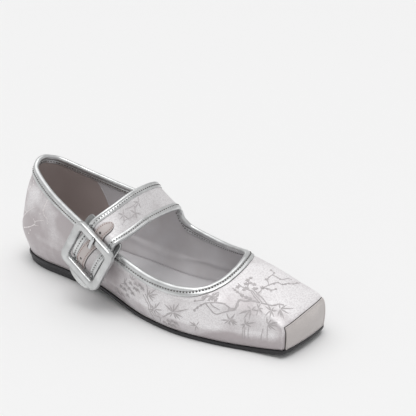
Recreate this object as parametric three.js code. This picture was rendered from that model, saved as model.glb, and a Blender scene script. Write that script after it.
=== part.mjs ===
// A women's mary jane flat, right shoe: satin upper on a thin black sole with a low heel,
// metallic leather binding, and an instep strap that runs through a large covered buckle.
// Millimetres. +X runs from heel to toe, +Y to the inner (medial) side, +Z up from the floor.

import * as THREE from 'three';

// Driving sizes of the last and the sole
const soleLength = 242;
const ballWidth = 78;
const counterHeight = 76;
const toeHeight = 24;
const heelHeight = 4.5;
const heelLength = 62;
const soleThickness = 2.4;
const soleBevel = 0.8;
const archRaise = 1.6;
const toeSpring = 3.5;
const treadStart = 140;
const treadEnd = 204;
const insoleThickness = 2;

// Driving sizes of the upper and its trims
const wall = 1.6;
const featherInset = 1.1;
const clearance = 0.3;
const toePanelThickness = 0.9;
const toePanelRise = 0.5;
const bindingWidth = 5.2;
const bindingThickness = 0.9;

// Driving sizes of the strap and the buckle
const strapWidth = 24;
const strapThickness = 2;
const strapTipLength = 9;
const strapTipSquareness = 0.7;
const patchWidth = 8;
const patchThickness = 0.9;
const buckleGap = 1;
const buckleHeight = 35;
const buckleBarWidth = 5.6;
const buckleThickness = 4;
const buckleCorner = 6;
const buckleBevel = 1.4;
const centreBarDiameter = 2.2;
const centreBarSet = 4.2;
const prongDiameter = 2;
const tabThickness = 1.4;
const heelTaper = 0.6;
const edgeSlack = 0.15;
const innerSlack = 0.6;
const topSlack = 0.3;
const rootGap = 0.8;
const strapDip = 0.5;
const strapBindingWidth = 5;
const strapBindingThickness = 0.5;
const tipRounding = 0.8;

// How finely the curved pieces are divided
const ribsPerSection = 3;
const stepsPerRib = 10;
const stepsPerStrapRow = 3;
const stepsPerPatchRow = 6;
const platesPerSection = 3;
const searchRibs = 7;
const searchSteps = 6;

const satin = material(0xc9c4c6, 0.42, 0.1);
const toeSatin = material(0xc7bebd, 0.45, 0.1);
const lining = material(0xa9a7a8, 0.8, 0);
const silverLeather = material(0xaab0b0, 0.3, 0.7);
const blackRubber = material(0x2c2b2e, 0.55, 0);
const steel = material(0xb9bcbd, 0.2, 1);

function material(color, roughness, metalness) {
  return new THREE.MeshStandardMaterial({ color, roughness, metalness });
}

// The sole's outline, from the middle of the heel's back to the middle of the toe's front.
// along is a share of the sole's length, lateral and medial are shares of the ball width.
const outlineSections = [
  { along: 0.000, lateral: 0.000, medial: 0.000 },
  { along: 0.014, lateral: 0.140, medial: 0.140 },
  { along: 0.050, lateral: 0.240, medial: 0.245 },
  { along: 0.124, lateral: 0.302, medial: 0.315 },
  { along: 0.227, lateral: 0.316, medial: 0.325 },
  { along: 0.351, lateral: 0.352, medial: 0.310 },
  { along: 0.475, lateral: 0.423, medial: 0.340 },
  { along: 0.599, lateral: 0.487, medial: 0.430 },
  { along: 0.702, lateral: 0.500, medial: 0.494 },
  { along: 0.806, lateral: 0.442, medial: 0.468 },
  { along: 0.905, lateral: 0.352, medial: 0.385 },
  { along: 0.968, lateral: 0.305, medial: 0.318 },
  { along: 0.992, lateral: 0.262, medial: 0.268 },
  { along: 1.000, lateral: 0.000, medial: 0.000 },
];

// The upper's sections, from the heel's back along each side to the toe's front.
// name says where the section is. foot is its place on the outline, counted in the outline's rows.
// topX, topY and topZ are the edge of the collar or throat, as shares of sole length, ball width and
// counter height. belly is how far the lower wall stands out, as a share of the ball width. The
// shoulder, where the wall turns over, lies out from the foot by a share of the ball width and up by
// a share of the toe height, and turns over a length given as a share of the toe height. crown is how
// far the surface between shoulder and top edge rises over a straight line, as a share of ball width.
const lateralSections = [
  { name: 'heel back', foot: 0, topX: 0.041, topY: 0.000, topZ: 0.993,
    belly: 0.072, out: 0.040, up: 1.80, turn: 0.40, crown: 0.010 },
  { name: 'heel', foot: 1, topX: 0.045, topY: 0.077, topZ: 0.974,
    belly: 0.068, out: 0.038, up: 1.80, turn: 0.40, crown: 0.010 },
  { name: 'heel side', foot: 2, topX: 0.070, topY: 0.164, topZ: 0.921,
    belly: 0.058, out: 0.036, up: 1.75, turn: 0.40, crown: 0.010 },
  { name: 'quarter', foot: 3, topX: 0.157, topY: 0.267, topZ: 0.816,
    belly: 0.048, out: 0.040, up: 1.60, turn: 0.40, crown: 0.010 },
  { name: 'quarter end', foot: 4, topX: 0.252, topY: 0.359, topZ: 0.743,
    belly: 0.055, out: 0.060, up: 1.40, turn: 0.40, crown: 0.008 },
  { name: 'waist', foot: 5, topX: 0.355, topY: 0.431, topZ: 0.664,
    belly: 0.070, out: 0.085, up: 1.20, turn: 0.35, crown: 0.006 },
  { name: 'buckle side', foot: 6, topX: 0.471, topY: 0.472, topZ: 0.546,
    belly: 0.050, out: 0.055, up: 1.00, turn: 0.30, crown: 0.006 },
  { name: 'ball rear', foot: 7, topX: 0.587, topY: 0.485, topZ: 0.441,
    belly: 0.035, out: 0.022, up: 0.88, turn: 0.30, crown: 0.008 },
  { name: 'ball', foot: 8, topX: 0.669, topY: 0.469, topZ: 0.414,
    belly: 0.030, out: 0.004, up: 0.82, turn: 0.30, crown: 0.010 },
  { name: 'throat corner', foot: 9, topX: 0.723, topY: 0.410, topZ: 0.414,
    belly: 0.028, out: -0.012, up: 0.80, turn: 0.25, crown: 0.012 },
  { name: 'throat turn', foot: 10, topX: 0.750, topY: 0.321, topZ: 0.421,
    belly: 0.020, out: -0.014, up: 0.80, turn: 0.18, crown: 0.016 },
  { name: 'throat side', foot: 11, topX: 0.762, topY: 0.224, topZ: 0.437,
    belly: 0.012, out: -0.010, up: 0.80, turn: 0.12, crown: 0.020 },
  { name: 'toe corner', foot: 12, topX: 0.768, topY: 0.135, topZ: 0.458,
    belly: 0.008, out: -0.004, up: 0.86, turn: 0.10, crown: 0.022 },
  { name: 'toe front', foot: 13, topX: 0.769, topY: 0.000, topZ: 0.495,
    belly: 0.010, out: -0.008, up: 1.00, turn: 0.10, crown: 0.024 },
];
const medialSections = [
  { name: 'heel back', foot: 0, topX: 0.041, topY: 0.000, topZ: 0.993,
    belly: 0.072, out: 0.040, up: 1.80, turn: 0.40, crown: 0.010 },
  { name: 'heel', foot: 1, topX: 0.045, topY: 0.077, topZ: 0.980,
    belly: 0.068, out: 0.038, up: 1.80, turn: 0.40, crown: 0.010 },
  { name: 'heel side', foot: 2, topX: 0.070, topY: 0.173, topZ: 0.941,
    belly: 0.058, out: 0.034, up: 1.75, turn: 0.40, crown: 0.010 },
  { name: 'quarter', foot: 3, topX: 0.153, topY: 0.282, topZ: 0.842,
    belly: 0.048, out: 0.036, up: 1.60, turn: 0.40, crown: 0.010 },
  { name: 'quarter end', foot: 4, topX: 0.248, topY: 0.365, topZ: 0.757,
    belly: 0.055, out: 0.055, up: 1.40, turn: 0.40, crown: 0.008 },
  { name: 'collar low', foot: 4.6, topX: 0.310, topY: 0.403, topZ: 0.717,
    belly: 0.075, out: 0.090, up: 1.30, turn: 0.35, crown: 0.008 },
  { name: 'root foot rear', foot: 5, topX: 0.351, topY: 0.413, topZ: 0.713,
    belly: 0.085, out: 0.110, up: 1.25, turn: 0.35, crown: 0.008 },
  { name: 'root rise rear', foot: 5.3, topX: 0.374, topY: 0.408, topZ: 0.730,
    belly: 0.088, out: 0.118, up: 1.20, turn: 0.35, crown: 0.010 },
  { name: 'root rear', foot: 5.45, topX: 0.385, topY: 0.392, topZ: 0.771,
    belly: 0.088, out: 0.118, up: 1.20, turn: 0.35, crown: 0.012 },
  { name: 'root edge rear', foot: 5.56, topX: 0.401, topY: 0.394, topZ: 0.751,
    belly: 0.087, out: 0.115, up: 1.18, turn: 0.35, crown: 0.012 },
  { name: 'root edge front', foot: 5.98, topX: 0.461, topY: 0.386, topZ: 0.679,
    belly: 0.082, out: 0.104, up: 1.12, turn: 0.30, crown: 0.012 },
  { name: 'root front', foot: 6.1, topX: 0.476, topY: 0.382, topZ: 0.661,
    belly: 0.080, out: 0.100, up: 1.10, turn: 0.30, crown: 0.012 },
  { name: 'root rise front', foot: 6.3, topX: 0.484, topY: 0.394, topZ: 0.588,
    belly: 0.072, out: 0.086, up: 1.05, turn: 0.30, crown: 0.010 },
  { name: 'root foot front', foot: 6.6, topX: 0.504, topY: 0.423, topZ: 0.521,
    belly: 0.064, out: 0.068, up: 1.00, turn: 0.30, crown: 0.010 },
  { name: 'topline', foot: 7, topX: 0.545, topY: 0.433, topZ: 0.484,
    belly: 0.050, out: 0.040, up: 0.92, turn: 0.30, crown: 0.010 },
  { name: 'ball rear', foot: 7.5, topX: 0.603, topY: 0.426, topZ: 0.458,
    belly: 0.040, out: 0.020, up: 0.88, turn: 0.30, crown: 0.012 },
  { name: 'ball', foot: 8, topX: 0.653, topY: 0.397, topZ: 0.458,
    belly: 0.034, out: 0.006, up: 0.86, turn: 0.30, crown: 0.014 },
  { name: 'throat corner', foot: 9, topX: 0.707, topY: 0.333, topZ: 0.489,
    belly: 0.028, out: -0.008, up: 0.90, turn: 0.25, crown: 0.018 },
  { name: 'throat turn', foot: 10, topX: 0.740, topY: 0.263, topZ: 0.524,
    belly: 0.020, out: -0.012, up: 0.98, turn: 0.18, crown: 0.022 },
  { name: 'throat side', foot: 11, topX: 0.757, topY: 0.179, topZ: 0.532,
    belly: 0.012, out: -0.010, up: 1.03, turn: 0.12, crown: 0.024 },
  { name: 'toe corner', foot: 12, topX: 0.765, topY: 0.096, topZ: 0.521,
    belly: 0.010, out: -0.006, up: 1.05, turn: 0.10, crown: 0.024 },
  { name: 'toe front', foot: 13, topX: 0.769, topY: 0.000, topZ: 0.495,
    belly: 0.010, out: -0.008, up: 1.00, turn: 0.10, crown: 0.024 },
];

// The strap's middle line from above its root on the medial side to above the buckle. x, y and z are
// shares of sole length, ball width and counter height, dip is how far the front edge tips down, in
// degrees.
const strapSections = [
  { x: 0.446, y: 0.315, z: 0.786, dip: 30 },
  { x: 0.463, y: 0.205, z: 0.842, dip: 42 },
  { x: 0.469, y: 0.040, z: 0.860, dip: 50 },
  { x: 0.471, y: -0.154, z: 0.848, dip: 50 },
  { x: 0.469, y: -0.359, z: 0.795, dip: 44 },
];

// The buckle's centre as shares of sole length, ball width and counter height, and its two turns:
// roll is its turn in its own plane, lean is how far its top tips in towards the foot, in degrees.
const buckleSeat = { x: 0.415, y: -0.609, z: 0.507, roll: 30, lean: 4 };

// The buckle tab's sections in the buckle's own frame. down from its centre and out from the foot are
// shares of the buckle's height, half is the half width as a share of the strap's width. The last
// rows, without an out, lie behind the centre bar.
const tabSections = [
  { down: -0.557, out: -0.271, half: 0.44 },
  { down: -0.529, out: -0.271, half: 0.62 },
  { down: -0.450, out: -0.266, half: 0.72 },
  { down: -0.340, out: -0.231, half: 0.71 },
  { down: -0.230, out: -0.204, half: 0.66 },
  { down: -0.140, out: -0.186, half: 0.58 },
  { down: -0.030, out: null, half: 0.50 },
  { down: 0.057, out: null, half: 0.48 },
];

const degree = Math.PI / 180;
const up = new THREE.Vector3(0, 0, 1);

// Smooth interpolation between four neighbouring values
function catmull(before, a, b, after, share) {
  const slopeA = (b - before) / 2;
  const slopeB = (after - a) / 2;
  const s2 = share * share;
  const s3 = s2 * share;
  const values = a * (2 * s3 - 3 * s2 + 1) + b * (3 * s2 - 2 * s3);
  return values + slopeA * (s3 - 2 * s2 + share) + slopeB * (s3 - s2);
}

// Joins the two sides' rows into one ring: lateral from heel to toe, then medial back to the heel
function ringOf(lateralRows, medialRows) {
  return [...lateralRows, ...medialRows.slice(1, -1).reverse()];
}

// The value of one column at a place on the ring, counted in rows; a column that counts places
// itself grows by its own lap each time the ring closes
function ringValue(rows, column, place, lap = 0) {
  const count = rows.length;
  const index = Math.floor(place);
  const pick = (offset) => {
    const at = index + offset;
    return rows[((at % count) + count) % count][column] + lap * Math.floor(at / count);
  };
  return catmull(pick(-1), pick(0), pick(1), pick(2), place - index);
}

const outlineRing = ringOf(
  outlineSections.map((row) => ({ x: row.along * soleLength, y: -row.lateral * ballWidth })),
  outlineSections.map((row) => ({ x: row.along * soleLength, y: row.medial * ballWidth })),
);
const outlineLap = outlineRing.length;
const toePlace = outlineSections.length - 1;

function outlinePoint(place) {
  return new THREE.Vector3(ringValue(outlineRing, 'x', place), ringValue(outlineRing, 'y', place), 0);
}

// The level direction that points out of the outline
function outlineNormal(place) {
  const reach = 0.05;
  const along = outlinePoint(place + reach).sub(outlinePoint(place - reach));
  return along.cross(up).normalize();
}

function ease(share) {
  return share * share * (3 - 2 * share);
}

// Height of the outsole's underside: flat over the heel, arched, flat at the tread, sprung at the toe
function undersideHeight(x) {
  if (x <= heelLength) return heelHeight;
  if (x < treadStart) {
    const share = (x - heelLength) / (treadStart - heelLength);
    return heelHeight * (1 - ease(share)) + archRaise * Math.sin(Math.PI * share) ** 2;
  }
  if (x <= treadEnd) return 0;
  return toeSpring * ((x - treadEnd) / (soleLength - treadEnd)) ** 2;
}

function seatHeight(x) {
  return undersideHeight(x) + soleThickness;
}

// Builds one closed body through a row of sections that have equal numbers of points.
// An open row of sections is closed by a flat cap at each end.
function skin(sections, closed) {
  const size = sections[0].length;
  const points = sections.flat();
  const triangles = [];
  const spans = closed ? sections.length : sections.length - 1;
  for (let i = 0; i < spans; i += 1) {
    const here = i * size;
    const next = ((i + 1) % sections.length) * size;
    for (let k = 0; k < size; k += 1) {
      const l = (k + 1) % size;
      addQuad(triangles, points, here + k, next + k, next + l, here + l);
    }
  }
  if (!closed) {
    addCap(triangles, sections[0], 0, false);
    addCap(triangles, sections.at(-1), (sections.length - 1) * size, true);
  }
  return closedGeometry(points, triangles);
}

function addQuad(triangles, points, a, b, c, d) {
  if (points[a].distanceTo(points[c]) <= points[b].distanceTo(points[d])) {
    triangles.push([a, b, c], [a, c, d]);
  } else {
    triangles.push([a, b, d], [b, c, d]);
  }
}

function addCap(triangles, section, start, last) {
  const normal = new THREE.Vector3();
  section.forEach((point, k) => {
    const following = section[(k + 1) % section.length];
    normal.add(point.clone().sub(section[0]).cross(following.clone().sub(section[0])));
  });
  const smallest = 1e-6;
  if (normal.length() < smallest) return;
  const turn = new THREE.Quaternion().setFromUnitVectors(normal.normalize(), up);
  const flat = section.map((point) => {
    const turned = point.clone().applyQuaternion(turn);
    return new THREE.Vector2(turned.x, turned.y);
  });
  for (const [a, b, c] of THREE.ShapeUtils.triangulateShape(flat, [])) {
    triangles.push(last ? [start + c, start + b, start + a] : [start + a, start + b, start + c]);
  }
}

// Merges equal points, drops triangles without area, and turns the body's faces outward
function closedGeometry(points, triangles) {
  const grain = 1e4;
  const places = new Map();
  const kept = points.map((point) => {
    const key = point.toArray().map((value) => Math.round(value * grain)).join(',');
    if (!places.has(key)) places.set(key, places.size);
    return places.get(key);
  });
  const corners = [];
  points.forEach((point, index) => {
    corners[kept[index]] = point;
  });
  const faces = triangles.map((face) => face.map((index) => kept[index]));
  const whole = faces.filter(([a, b, c]) => a !== b && b !== c && c !== a);
  const volume = whole.reduce((sum, [a, b, c]) => (
    sum + corners[a].dot(corners[b].clone().cross(corners[c]))
  ), 0);
  const outward = volume < 0 ? whole.map(([a, b, c]) => [a, c, b]) : whole;
  const geometry = new THREE.BufferGeometry().setFromPoints(corners);
  geometry.setIndex(outward.flat());
  return geometry;
}

// The upper's ring of sections, in millimetres
function upperRow(row, side) {
  return {
    foot: side < 0 ? row.foot : outlineLap - row.foot,
    topX: row.topX * soleLength,
    topY: side * row.topY * ballWidth,
    topZ: row.topZ * counterHeight,
    belly: row.belly * ballWidth,
    out: row.out * ballWidth,
    up: row.up * toeHeight,
    turn: row.turn * toeHeight,
    crown: row.crown * ballWidth,
  };
}

const upperRing = ringOf(
  lateralSections.map((row) => upperRow(row, -1)),
  medialSections.map((row) => upperRow(row, 1)),
);
const ribCount = upperRing.length * ribsPerSection;

function lateralRib(name) {
  return lateralSections.findIndex((row) => row.name === name) * ribsPerSection;
}

function medialRib(name) {
  return (upperRing.length - medialSections.findIndex((row) => row.name === name)) * ribsPerSection;
}

// The points of one rib, from the feather edge up the wall, over the shoulder and to the top edge
function ribPoints(place) {
  const value = (column) => ringValue(upperRing, column, place);
  const footPlace = ringValue(upperRing, 'foot', place, outlineLap);
  const out = outlineNormal(footPlace);
  const foot = outlinePoint(footPlace).addScaledVector(out, -featherInset);
  foot.z = seatHeight(foot.x) + clearance;
  const top = new THREE.Vector3(value('topX'), value('topY'), value('topZ'));
  const shoulder = foot.clone().addScaledVector(out, value('out'));
  shoulder.z = value('up');
  const belly = foot.clone().addScaledVector(out, value('belly'));
  belly.z = (foot.z + shoulder.z) / 2;
  const chord = top.clone().sub(shoulder);
  const side = up.clone().cross(out);
  const rise = chord.clone().cross(side).normalize();
  if (rise.dot(out) + rise.z < 0) rise.negate();
  const crown = shoulder.clone().addScaledVector(chord, 0.5).addScaledVector(rise, value('crown'));
  const below = towards(shoulder, belly, value('turn'));
  const above = towards(shoulder, crown, value('turn'));
  const curve = new THREE.CatmullRomCurve3([foot, belly, below, above, crown, top]);
  return curve.getPoints(stepsPerRib);
}

// The point that lies a distance from start on the way to end, at most most of the way
function towards(start, end, distance) {
  const most = 0.6;
  return start.clone().lerp(end, Math.min(most, distance / start.distanceTo(end)));
}

const ribs = Array.from({ length: ribCount }, (_, i) => ribPoints(i / ribsPerSection));
const ribNormals = ribs.map((rib, i) => rib.map((_, j) => wallNormal(i, j)));

function wallNormal(i, j) {
  const ahead = ribs[(i + 1) % ribCount][j];
  const behind = ribs[(i + ribCount - 1) % ribCount][j];
  const above = ribs[i][Math.min(j + 1, stepsPerRib)];
  const below = ribs[i][Math.max(j - 1, 0)];
  const normal = ahead.clone().sub(behind).cross(above.clone().sub(below)).normalize();
  if (j === 0) normal.setZ(0).normalize();
  return normal;
}

// The top edge at one rib, square to the edge's run between two neighbouring ribs: gives the point
// at a depth from the edge into the wall and an offset out from the wall's outer face
function edgeFrame(step, before, after) {
  const rib = ribs[step % ribCount];
  const top = rib[stepsPerRib];
  const normal = ribNormals[step % ribCount][stepsPerRib];
  const run = topPoint(after).sub(topPoint(before));
  const into = run.cross(normal).normalize();
  if (into.dot(rib[stepsPerRib - 1].clone().sub(top)) < 0) into.negate();
  return (depth, offset) => {
    const point = top.clone().addScaledVector(into, depth);
    if (depth <= 0) return point.addScaledVector(normal, offset);
    const seat = nearestOnWall(point, step);
    return seat.point.addScaledVector(seat.normal, offset);
  };
}

// The point and direction of the wall's outer face nearest to a point, near the top of some ribs
function nearestOnWall(point, step) {
  let nearest = { gap: Infinity };
  for (let i = step - searchRibs; i < step + searchRibs; i += 1) {
    for (let j = stepsPerRib - searchSteps; j < stepsPerRib; j += 1) {
      const first = [[i, j], [i + 1, j], [i + 1, j + 1]];
      const second = [[i, j], [i + 1, j + 1], [i, j + 1]];
      nearest = nearerOf(nearest, nearestOnTriangle(point, first));
      nearest = nearerOf(nearest, nearestOnTriangle(point, second));
    }
  }
  return nearest;
}

function nearerOf(one, other) {
  return other.gap < one.gap ? other : one;
}

// The nearest point on one triangle of the wall, whose corners are given as [rib, step]
function nearestOnTriangle(point, corners) {
  const [a, b, c] = corners.map(([rib, at]) => ribs[(rib + ribCount) % ribCount][at]);
  const [u, v, w] = corners.map(([rib, at]) => ribNormals[(rib + ribCount) % ribCount][at]);
  const found = new THREE.Triangle(a, b, c).closestPointToPoint(point, new THREE.Vector3());
  const normal = THREE.Triangle.getInterpolation(found, a, b, c, u, v, w, new THREE.Vector3());
  return { gap: found.distanceTo(point), point: found, normal: normal.normalize() };
}

function topPoint(step) {
  return ribs[step % ribCount][stepsPerRib].clone();
}

function buildUpper() {
  const sections = ribs.map((rib, i) => {
    const inner = rib.map((point, j) => point.clone().addScaledVector(ribNormals[i][j], -wall));
    return [...rib, ...inner.reverse()];
  });
  return mesh('upper', skin(sections, true), satin);
}

// A strip of the upper's own surface, raised over it, between two ribs and two steps
function surfacePatch(firstRib, lastRib, firstStep, lastStep, low, high) {
  const sections = [];
  for (let i = firstRib; i <= lastRib; i += 1) {
    const rib = ribs[i % ribCount];
    const normals = ribNormals[i % ribCount];
    const at = (j, offset) => rib[j].clone().addScaledVector(normals[j], offset);
    const steps = Array.from({ length: lastStep - firstStep + 1 }, (_, k) => firstStep + k);
    sections.push([...steps.map((j) => at(j, high)), ...steps.reverse().map((j) => at(j, low))]);
  }
  return skin(sections, false);
}

// The toe panel covers the flat front of the toe from the feather edge to the shoulder
function buildToePanel() {
  const lastStep = Math.round(stepsPerRib * toePanelRise);
  const first = lateralRib('toe corner');
  const last = medialRib('toe corner');
  const high = clearance + toePanelThickness;
  return mesh('toe_panel', surfacePatch(first, last, 0, lastStep, clearance, high), toeSatin);
}

// The binding folds over the top edge, from the front of the strap's root round to its rear
function buildCollarBinding() {
  const strapFront = medialRib('root front');
  const strapRear = medialRib('root rear');
  const near = clearance;
  const far = clearance + bindingThickness;
  const half = bindingThickness / 2;
  const over = near + topSlack;
  const inside = -wall - near - innerSlack;
  const halfway = bindingWidth / 2;
  const last = strapFront + ribCount;
  const sections = [];
  for (let step = strapRear; step <= last; step += 1) {
    const at = edgeFrame(step, Math.max(step - 1, strapRear), Math.min(step + 1, last));
    sections.push([
      at(bindingWidth, near + edgeSlack),
      at(bindingWidth, near + edgeSlack + half),
      at(halfway, far),
      at(-over, far),
      at(-over - bindingThickness, near - half),
      at(-over - bindingThickness, half - near - wall),
      at(-over, -wall - far),
      at(halfway, inside - bindingThickness),
      at(bindingWidth, inside - half),
      at(bindingWidth, inside),
      at(-over, inside),
      at(-over, near),
    ]);
  }
  return mesh('collar_binding', skin(sections, false), silverLeather);
}

// A level or sprung plate with the sole's outline, between two places, set in from the edge
function plate(firstPlace, lastPlace, insetBelow, insetAbove, heightBelow, heightAbove) {
  const count = Math.round((lastPlace - firstPlace) * platesPerSection);
  const sections = [];
  for (let i = 0; i <= count; i += 1) {
    const place = firstPlace + (lastPlace - firstPlace) * i / count;
    const edge = (side, inset, height) => {
      const at = side < 0 ? place : outlineLap - place;
      const point = outlinePoint(at).addScaledVector(outlineNormal(at), -inset);
      point.z = height(point.x);
      return point;
    };
    sections.push([
      edge(-1, insetBelow, heightBelow),
      edge(1, insetBelow, heightBelow),
      edge(1, insetAbove, heightAbove),
      edge(-1, insetAbove, heightAbove),
    ]);
  }
  return skin(sections, false);
}

// The place on the outline where the sole reaches a length
function placeAtLength(x) {
  let low = 0;
  let high = toePlace;
  const halvings = 30;
  for (let i = 0; i < halvings; i += 1) {
    const middle = (low + high) / 2;
    if (outlinePoint(middle).x < x) low = middle;
    else high = middle;
  }
  return low;
}

function buildOutsole() {
  return mesh('outsole', plate(0, toePlace, soleBevel, 0, undersideHeight, seatHeight), blackRubber);
}

function buildHeel() {
  const breast = placeAtLength(heelLength);
  const top = () => heelHeight - clearance;
  return mesh('heel', plate(0, breast, soleBevel + heelTaper, soleBevel, () => 0, top), blackRubber);
}

function buildInsole() {
  const inset = featherInset + wall + 2 * clearance;
  const below = (x) => seatHeight(x) + clearance;
  const above = (x) => below(x) + insoleThickness;
  return mesh('insole', plate(0, toePlace, inset, inset, below, above), lining);
}

// The buckle's own directions: across from its rear to its front side, down, and out from the foot
const buckleTurn = new THREE.Matrix4()
  .makeRotationX((90 - buckleSeat.lean) * degree)
  .multiply(new THREE.Matrix4().makeRotationZ(-buckleSeat.roll * degree));
const buckleAcross = new THREE.Vector3().setFromMatrixColumn(buckleTurn, 0);
const buckleDown = new THREE.Vector3().setFromMatrixColumn(buckleTurn, 1).negate();
const buckleOut = new THREE.Vector3().setFromMatrixColumn(buckleTurn, 2);
const buckleCentre = new THREE.Vector3(
  buckleSeat.x * soleLength,
  buckleSeat.y * ballWidth,
  buckleSeat.z * counterHeight,
);

function onBuckle(across, down, out) {
  return buckleCentre.clone()
    .addScaledVector(buckleAcross, across)
    .addScaledVector(buckleDown, down)
    .addScaledVector(buckleOut, out);
}

// The strap's path: over the instep by its table, then under the buckle's upper bar, over its
// centre bar and under its lower bar to the tip
const buckleWindow = strapWidth + 2 * buckleGap;
const barMiddle = (buckleHeight - buckleBarWidth) / 2;
const strapTop = strapThickness / 2 + clearance + patchThickness;
const strapBottom = strapThickness / 2 + clearance + strapBindingThickness;
const underBar = -(buckleThickness / 2 + clearance + strapTop);
const overCentre = centreBarDiameter / 2 - centreBarSet + 2 * clearance + strapBottom;
const halfRise = underBar + (overCentre - underBar) * 0.8;
const barClear = buckleBarWidth * 0.6;
const riseReach = buckleBarWidth * 1.2;
const tipStart = barMiddle + buckleBarWidth / 2;
const strapLanding = [
  { down: -barMiddle - buckleBarWidth, out: underBar - 2 * strapDip },
  { down: -barMiddle, out: underBar - strapDip },
  { down: -barMiddle + barClear, out: underBar },
  { down: -riseReach, out: halfRise },
  { down: 0, out: overCentre },
  { down: riseReach, out: halfRise },
  { down: barMiddle - barClear, out: underBar },
  { down: barMiddle, out: underBar - strapDip },
  { down: tipStart, out: underBar - strapDip },
];
const strapPath = [
  strapRoot(),
  ...strapSections.map((row) => ({
    middle: new THREE.Vector3(row.x * soleLength, row.y * ballWidth, row.z * counterHeight),
    across: new THREE.Vector3(Math.cos(row.dip * degree), 0, -Math.sin(row.dip * degree)),
  })),
  ...strapLanding.map((row) => ({
    middle: onBuckle(0, row.down, row.out),
    across: buckleAcross.clone(),
  })),
];

// The strap's first row, over the middle of its root's top edge
function strapRoot() {
  const rear = topPoint(medialRib('root rear'));
  const front = topPoint(medialRib('root front'));
  const step = Math.round((medialRib('root rear') + medialRib('root front')) / 2);
  const rib = ribs[step];
  const rise = rib[stepsPerRib].clone().sub(rib[stepsPerRib - 1]).normalize();
  const middle = rear.clone().add(front).multiplyScalar(0.5)
    .addScaledVector(ribNormals[step][stepsPerRib], -wall / 2)
    .addScaledVector(rise, rootGap);
  return { middle, across: front.sub(rear).normalize() };
}

// The strap's middle, across and face directions at a place counted in the rows of its path
function strapFrame(place) {
  const last = strapPath.length - 1;
  const index = Math.min(Math.floor(place), last - 1);
  const rows = [-1, 0, 1, 2].map((offset) => strapPath[Math.min(Math.max(index + offset, 0), last)]);
  const blend = (key) => {
    const at = (axis) => catmull(...rows.map((row) => row[key][axis]), place - index);
    return new THREE.Vector3(at('x'), at('y'), at('z'));
  };
  return { middle: blend('middle'), across: blend('across').normalize() };
}

function strapStation(place) {
  const reach = 0.05;
  const { middle, across } = strapFrame(place);
  const last = strapPath.length - 1;
  const ahead = strapFrame(Math.min(place + reach, last)).middle;
  const behind = strapFrame(Math.max(place - reach, 0)).middle;
  const along = ahead.sub(behind).normalize();
  const face = along.clone().cross(across).normalize();
  return (side, out) => middle.clone().addScaledVector(across, side).addScaledVector(face, out);
}

// Sweeps a section, given as [side, out] pairs for a place on the path, along part of the strap
function strapPiece(firstPlace, lastPlace, sectionAt, stepsPerRow = stepsPerStrapRow) {
  const count = Math.round((lastPlace - firstPlace) * stepsPerRow);
  return skin(Array.from({ length: count + 1 }, (_, i) => {
    const place = firstPlace + (lastPlace - firstPlace) * i / count;
    const at = strapStation(place);
    return sectionAt(place).map(([side, out]) => at(side, out));
  }), false);
}

function plainSection(halfWidth, low, high) {
  return [[-halfWidth, low], [halfWidth, low], [halfWidth, high], [-halfWidth, high]];
}

// Where the pieces on the strap start and end, counted in the rows of its path
const strapEnd = strapPath.length - 1;
const bindingStart = 0.15;
const patchFirst = strapSections.length + 0.4;
const patchLast = strapEnd - 1.6;

function buildStrap() {
  const half = strapWidth / 2 - bindingThickness - clearance;
  const depth = strapThickness / 2;
  return mesh('strap', strapPiece(0, strapEnd, () => plainSection(half, -depth, depth)), satin);
}

// A folded binding along one long edge of the strap; side is -1 for the rear edge, 1 for the front
function buildStrapBinding(name, side) {
  const edge = strapWidth / 2 - bindingThickness;
  const depth = strapThickness / 2 + clearance;
  const inner = strapWidth / 2 - strapBindingWidth;
  const far = depth + strapBindingThickness;
  const section = [
    [inner, depth], [inner, far], [edge, far], [strapWidth / 2, depth],
    [strapWidth / 2, -depth], [edge, -far], [inner, -far], [inner, -depth],
    [edge, -depth], [edge, depth],
  ].map(([across, out]) => [side * across, out]);
  return mesh(name, strapPiece(bindingStart, strapEnd, () => section), silverLeather);
}

// The narrow patch down the strap's middle, with a round end above the buckle
function buildStrapPatch() {
  const low = strapThickness / 2 + clearance;
  const roundedRows = 0.34;
  const least = 0.35;
  const section = (place) => {
    const start = Math.min((place - patchFirst) / roundedRows, 1);
    const half = patchWidth / 2 * Math.max(Math.sqrt(start * (2 - start)), least);
    return plainSection(half, low, low + patchThickness);
  };
  const piece = strapPiece(patchFirst, patchLast, section, stepsPerPatchRow);
  return mesh('strap_patch', piece, silverLeather);
}

// The strap's rounded leather tip, a little thicker than the strap
function buildStrapTip() {
  const depth = strapThickness / 2 + strapBindingThickness;
  const level = underBar - strapDip;
  const shape = new THREE.Shape();
  const half = strapWidth / 2;
  const steps = 10;
  shape.moveTo(half, 0);
  for (let i = 1; i < steps; i += 1) {
    const angle = Math.PI * i / steps;
    const down = strapTipLength * Math.sin(angle) ** strapTipSquareness;
    shape.lineTo(half * Math.cos(angle), down);
  }
  shape.lineTo(-half, 0);
  const outline = shape.getPoints();
  const layer = (out, inset) => outline.map((point) => {
    const scale = 1 - inset / half;
    return onBuckle(point.x * scale, tipStart + clearance + inset + point.y * scale, out);
  });
  const sections = [
    layer(level - depth, tipRounding),
    layer(level - depth + tipRounding, 0),
    layer(level + depth - tipRounding, 0),
    layer(level + depth, tipRounding),
  ];
  return mesh('strap_tip', skin(sections, false), silverLeather);
}

function roundedSquare(shape, halfWidth, halfHeight, radius) {
  shape.moveTo(halfWidth, halfHeight - radius);
  shape.absarc(halfWidth - radius, halfHeight - radius, radius, 0, Math.PI / 2);
  shape.absarc(radius - halfWidth, halfHeight - radius, radius, Math.PI / 2, Math.PI);
  shape.absarc(radius - halfWidth, radius - halfHeight, radius, Math.PI, Math.PI * 1.5);
  shape.absarc(halfWidth - radius, radius - halfHeight, radius, Math.PI * 1.5, Math.PI * 2);
  return shape;
}

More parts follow.
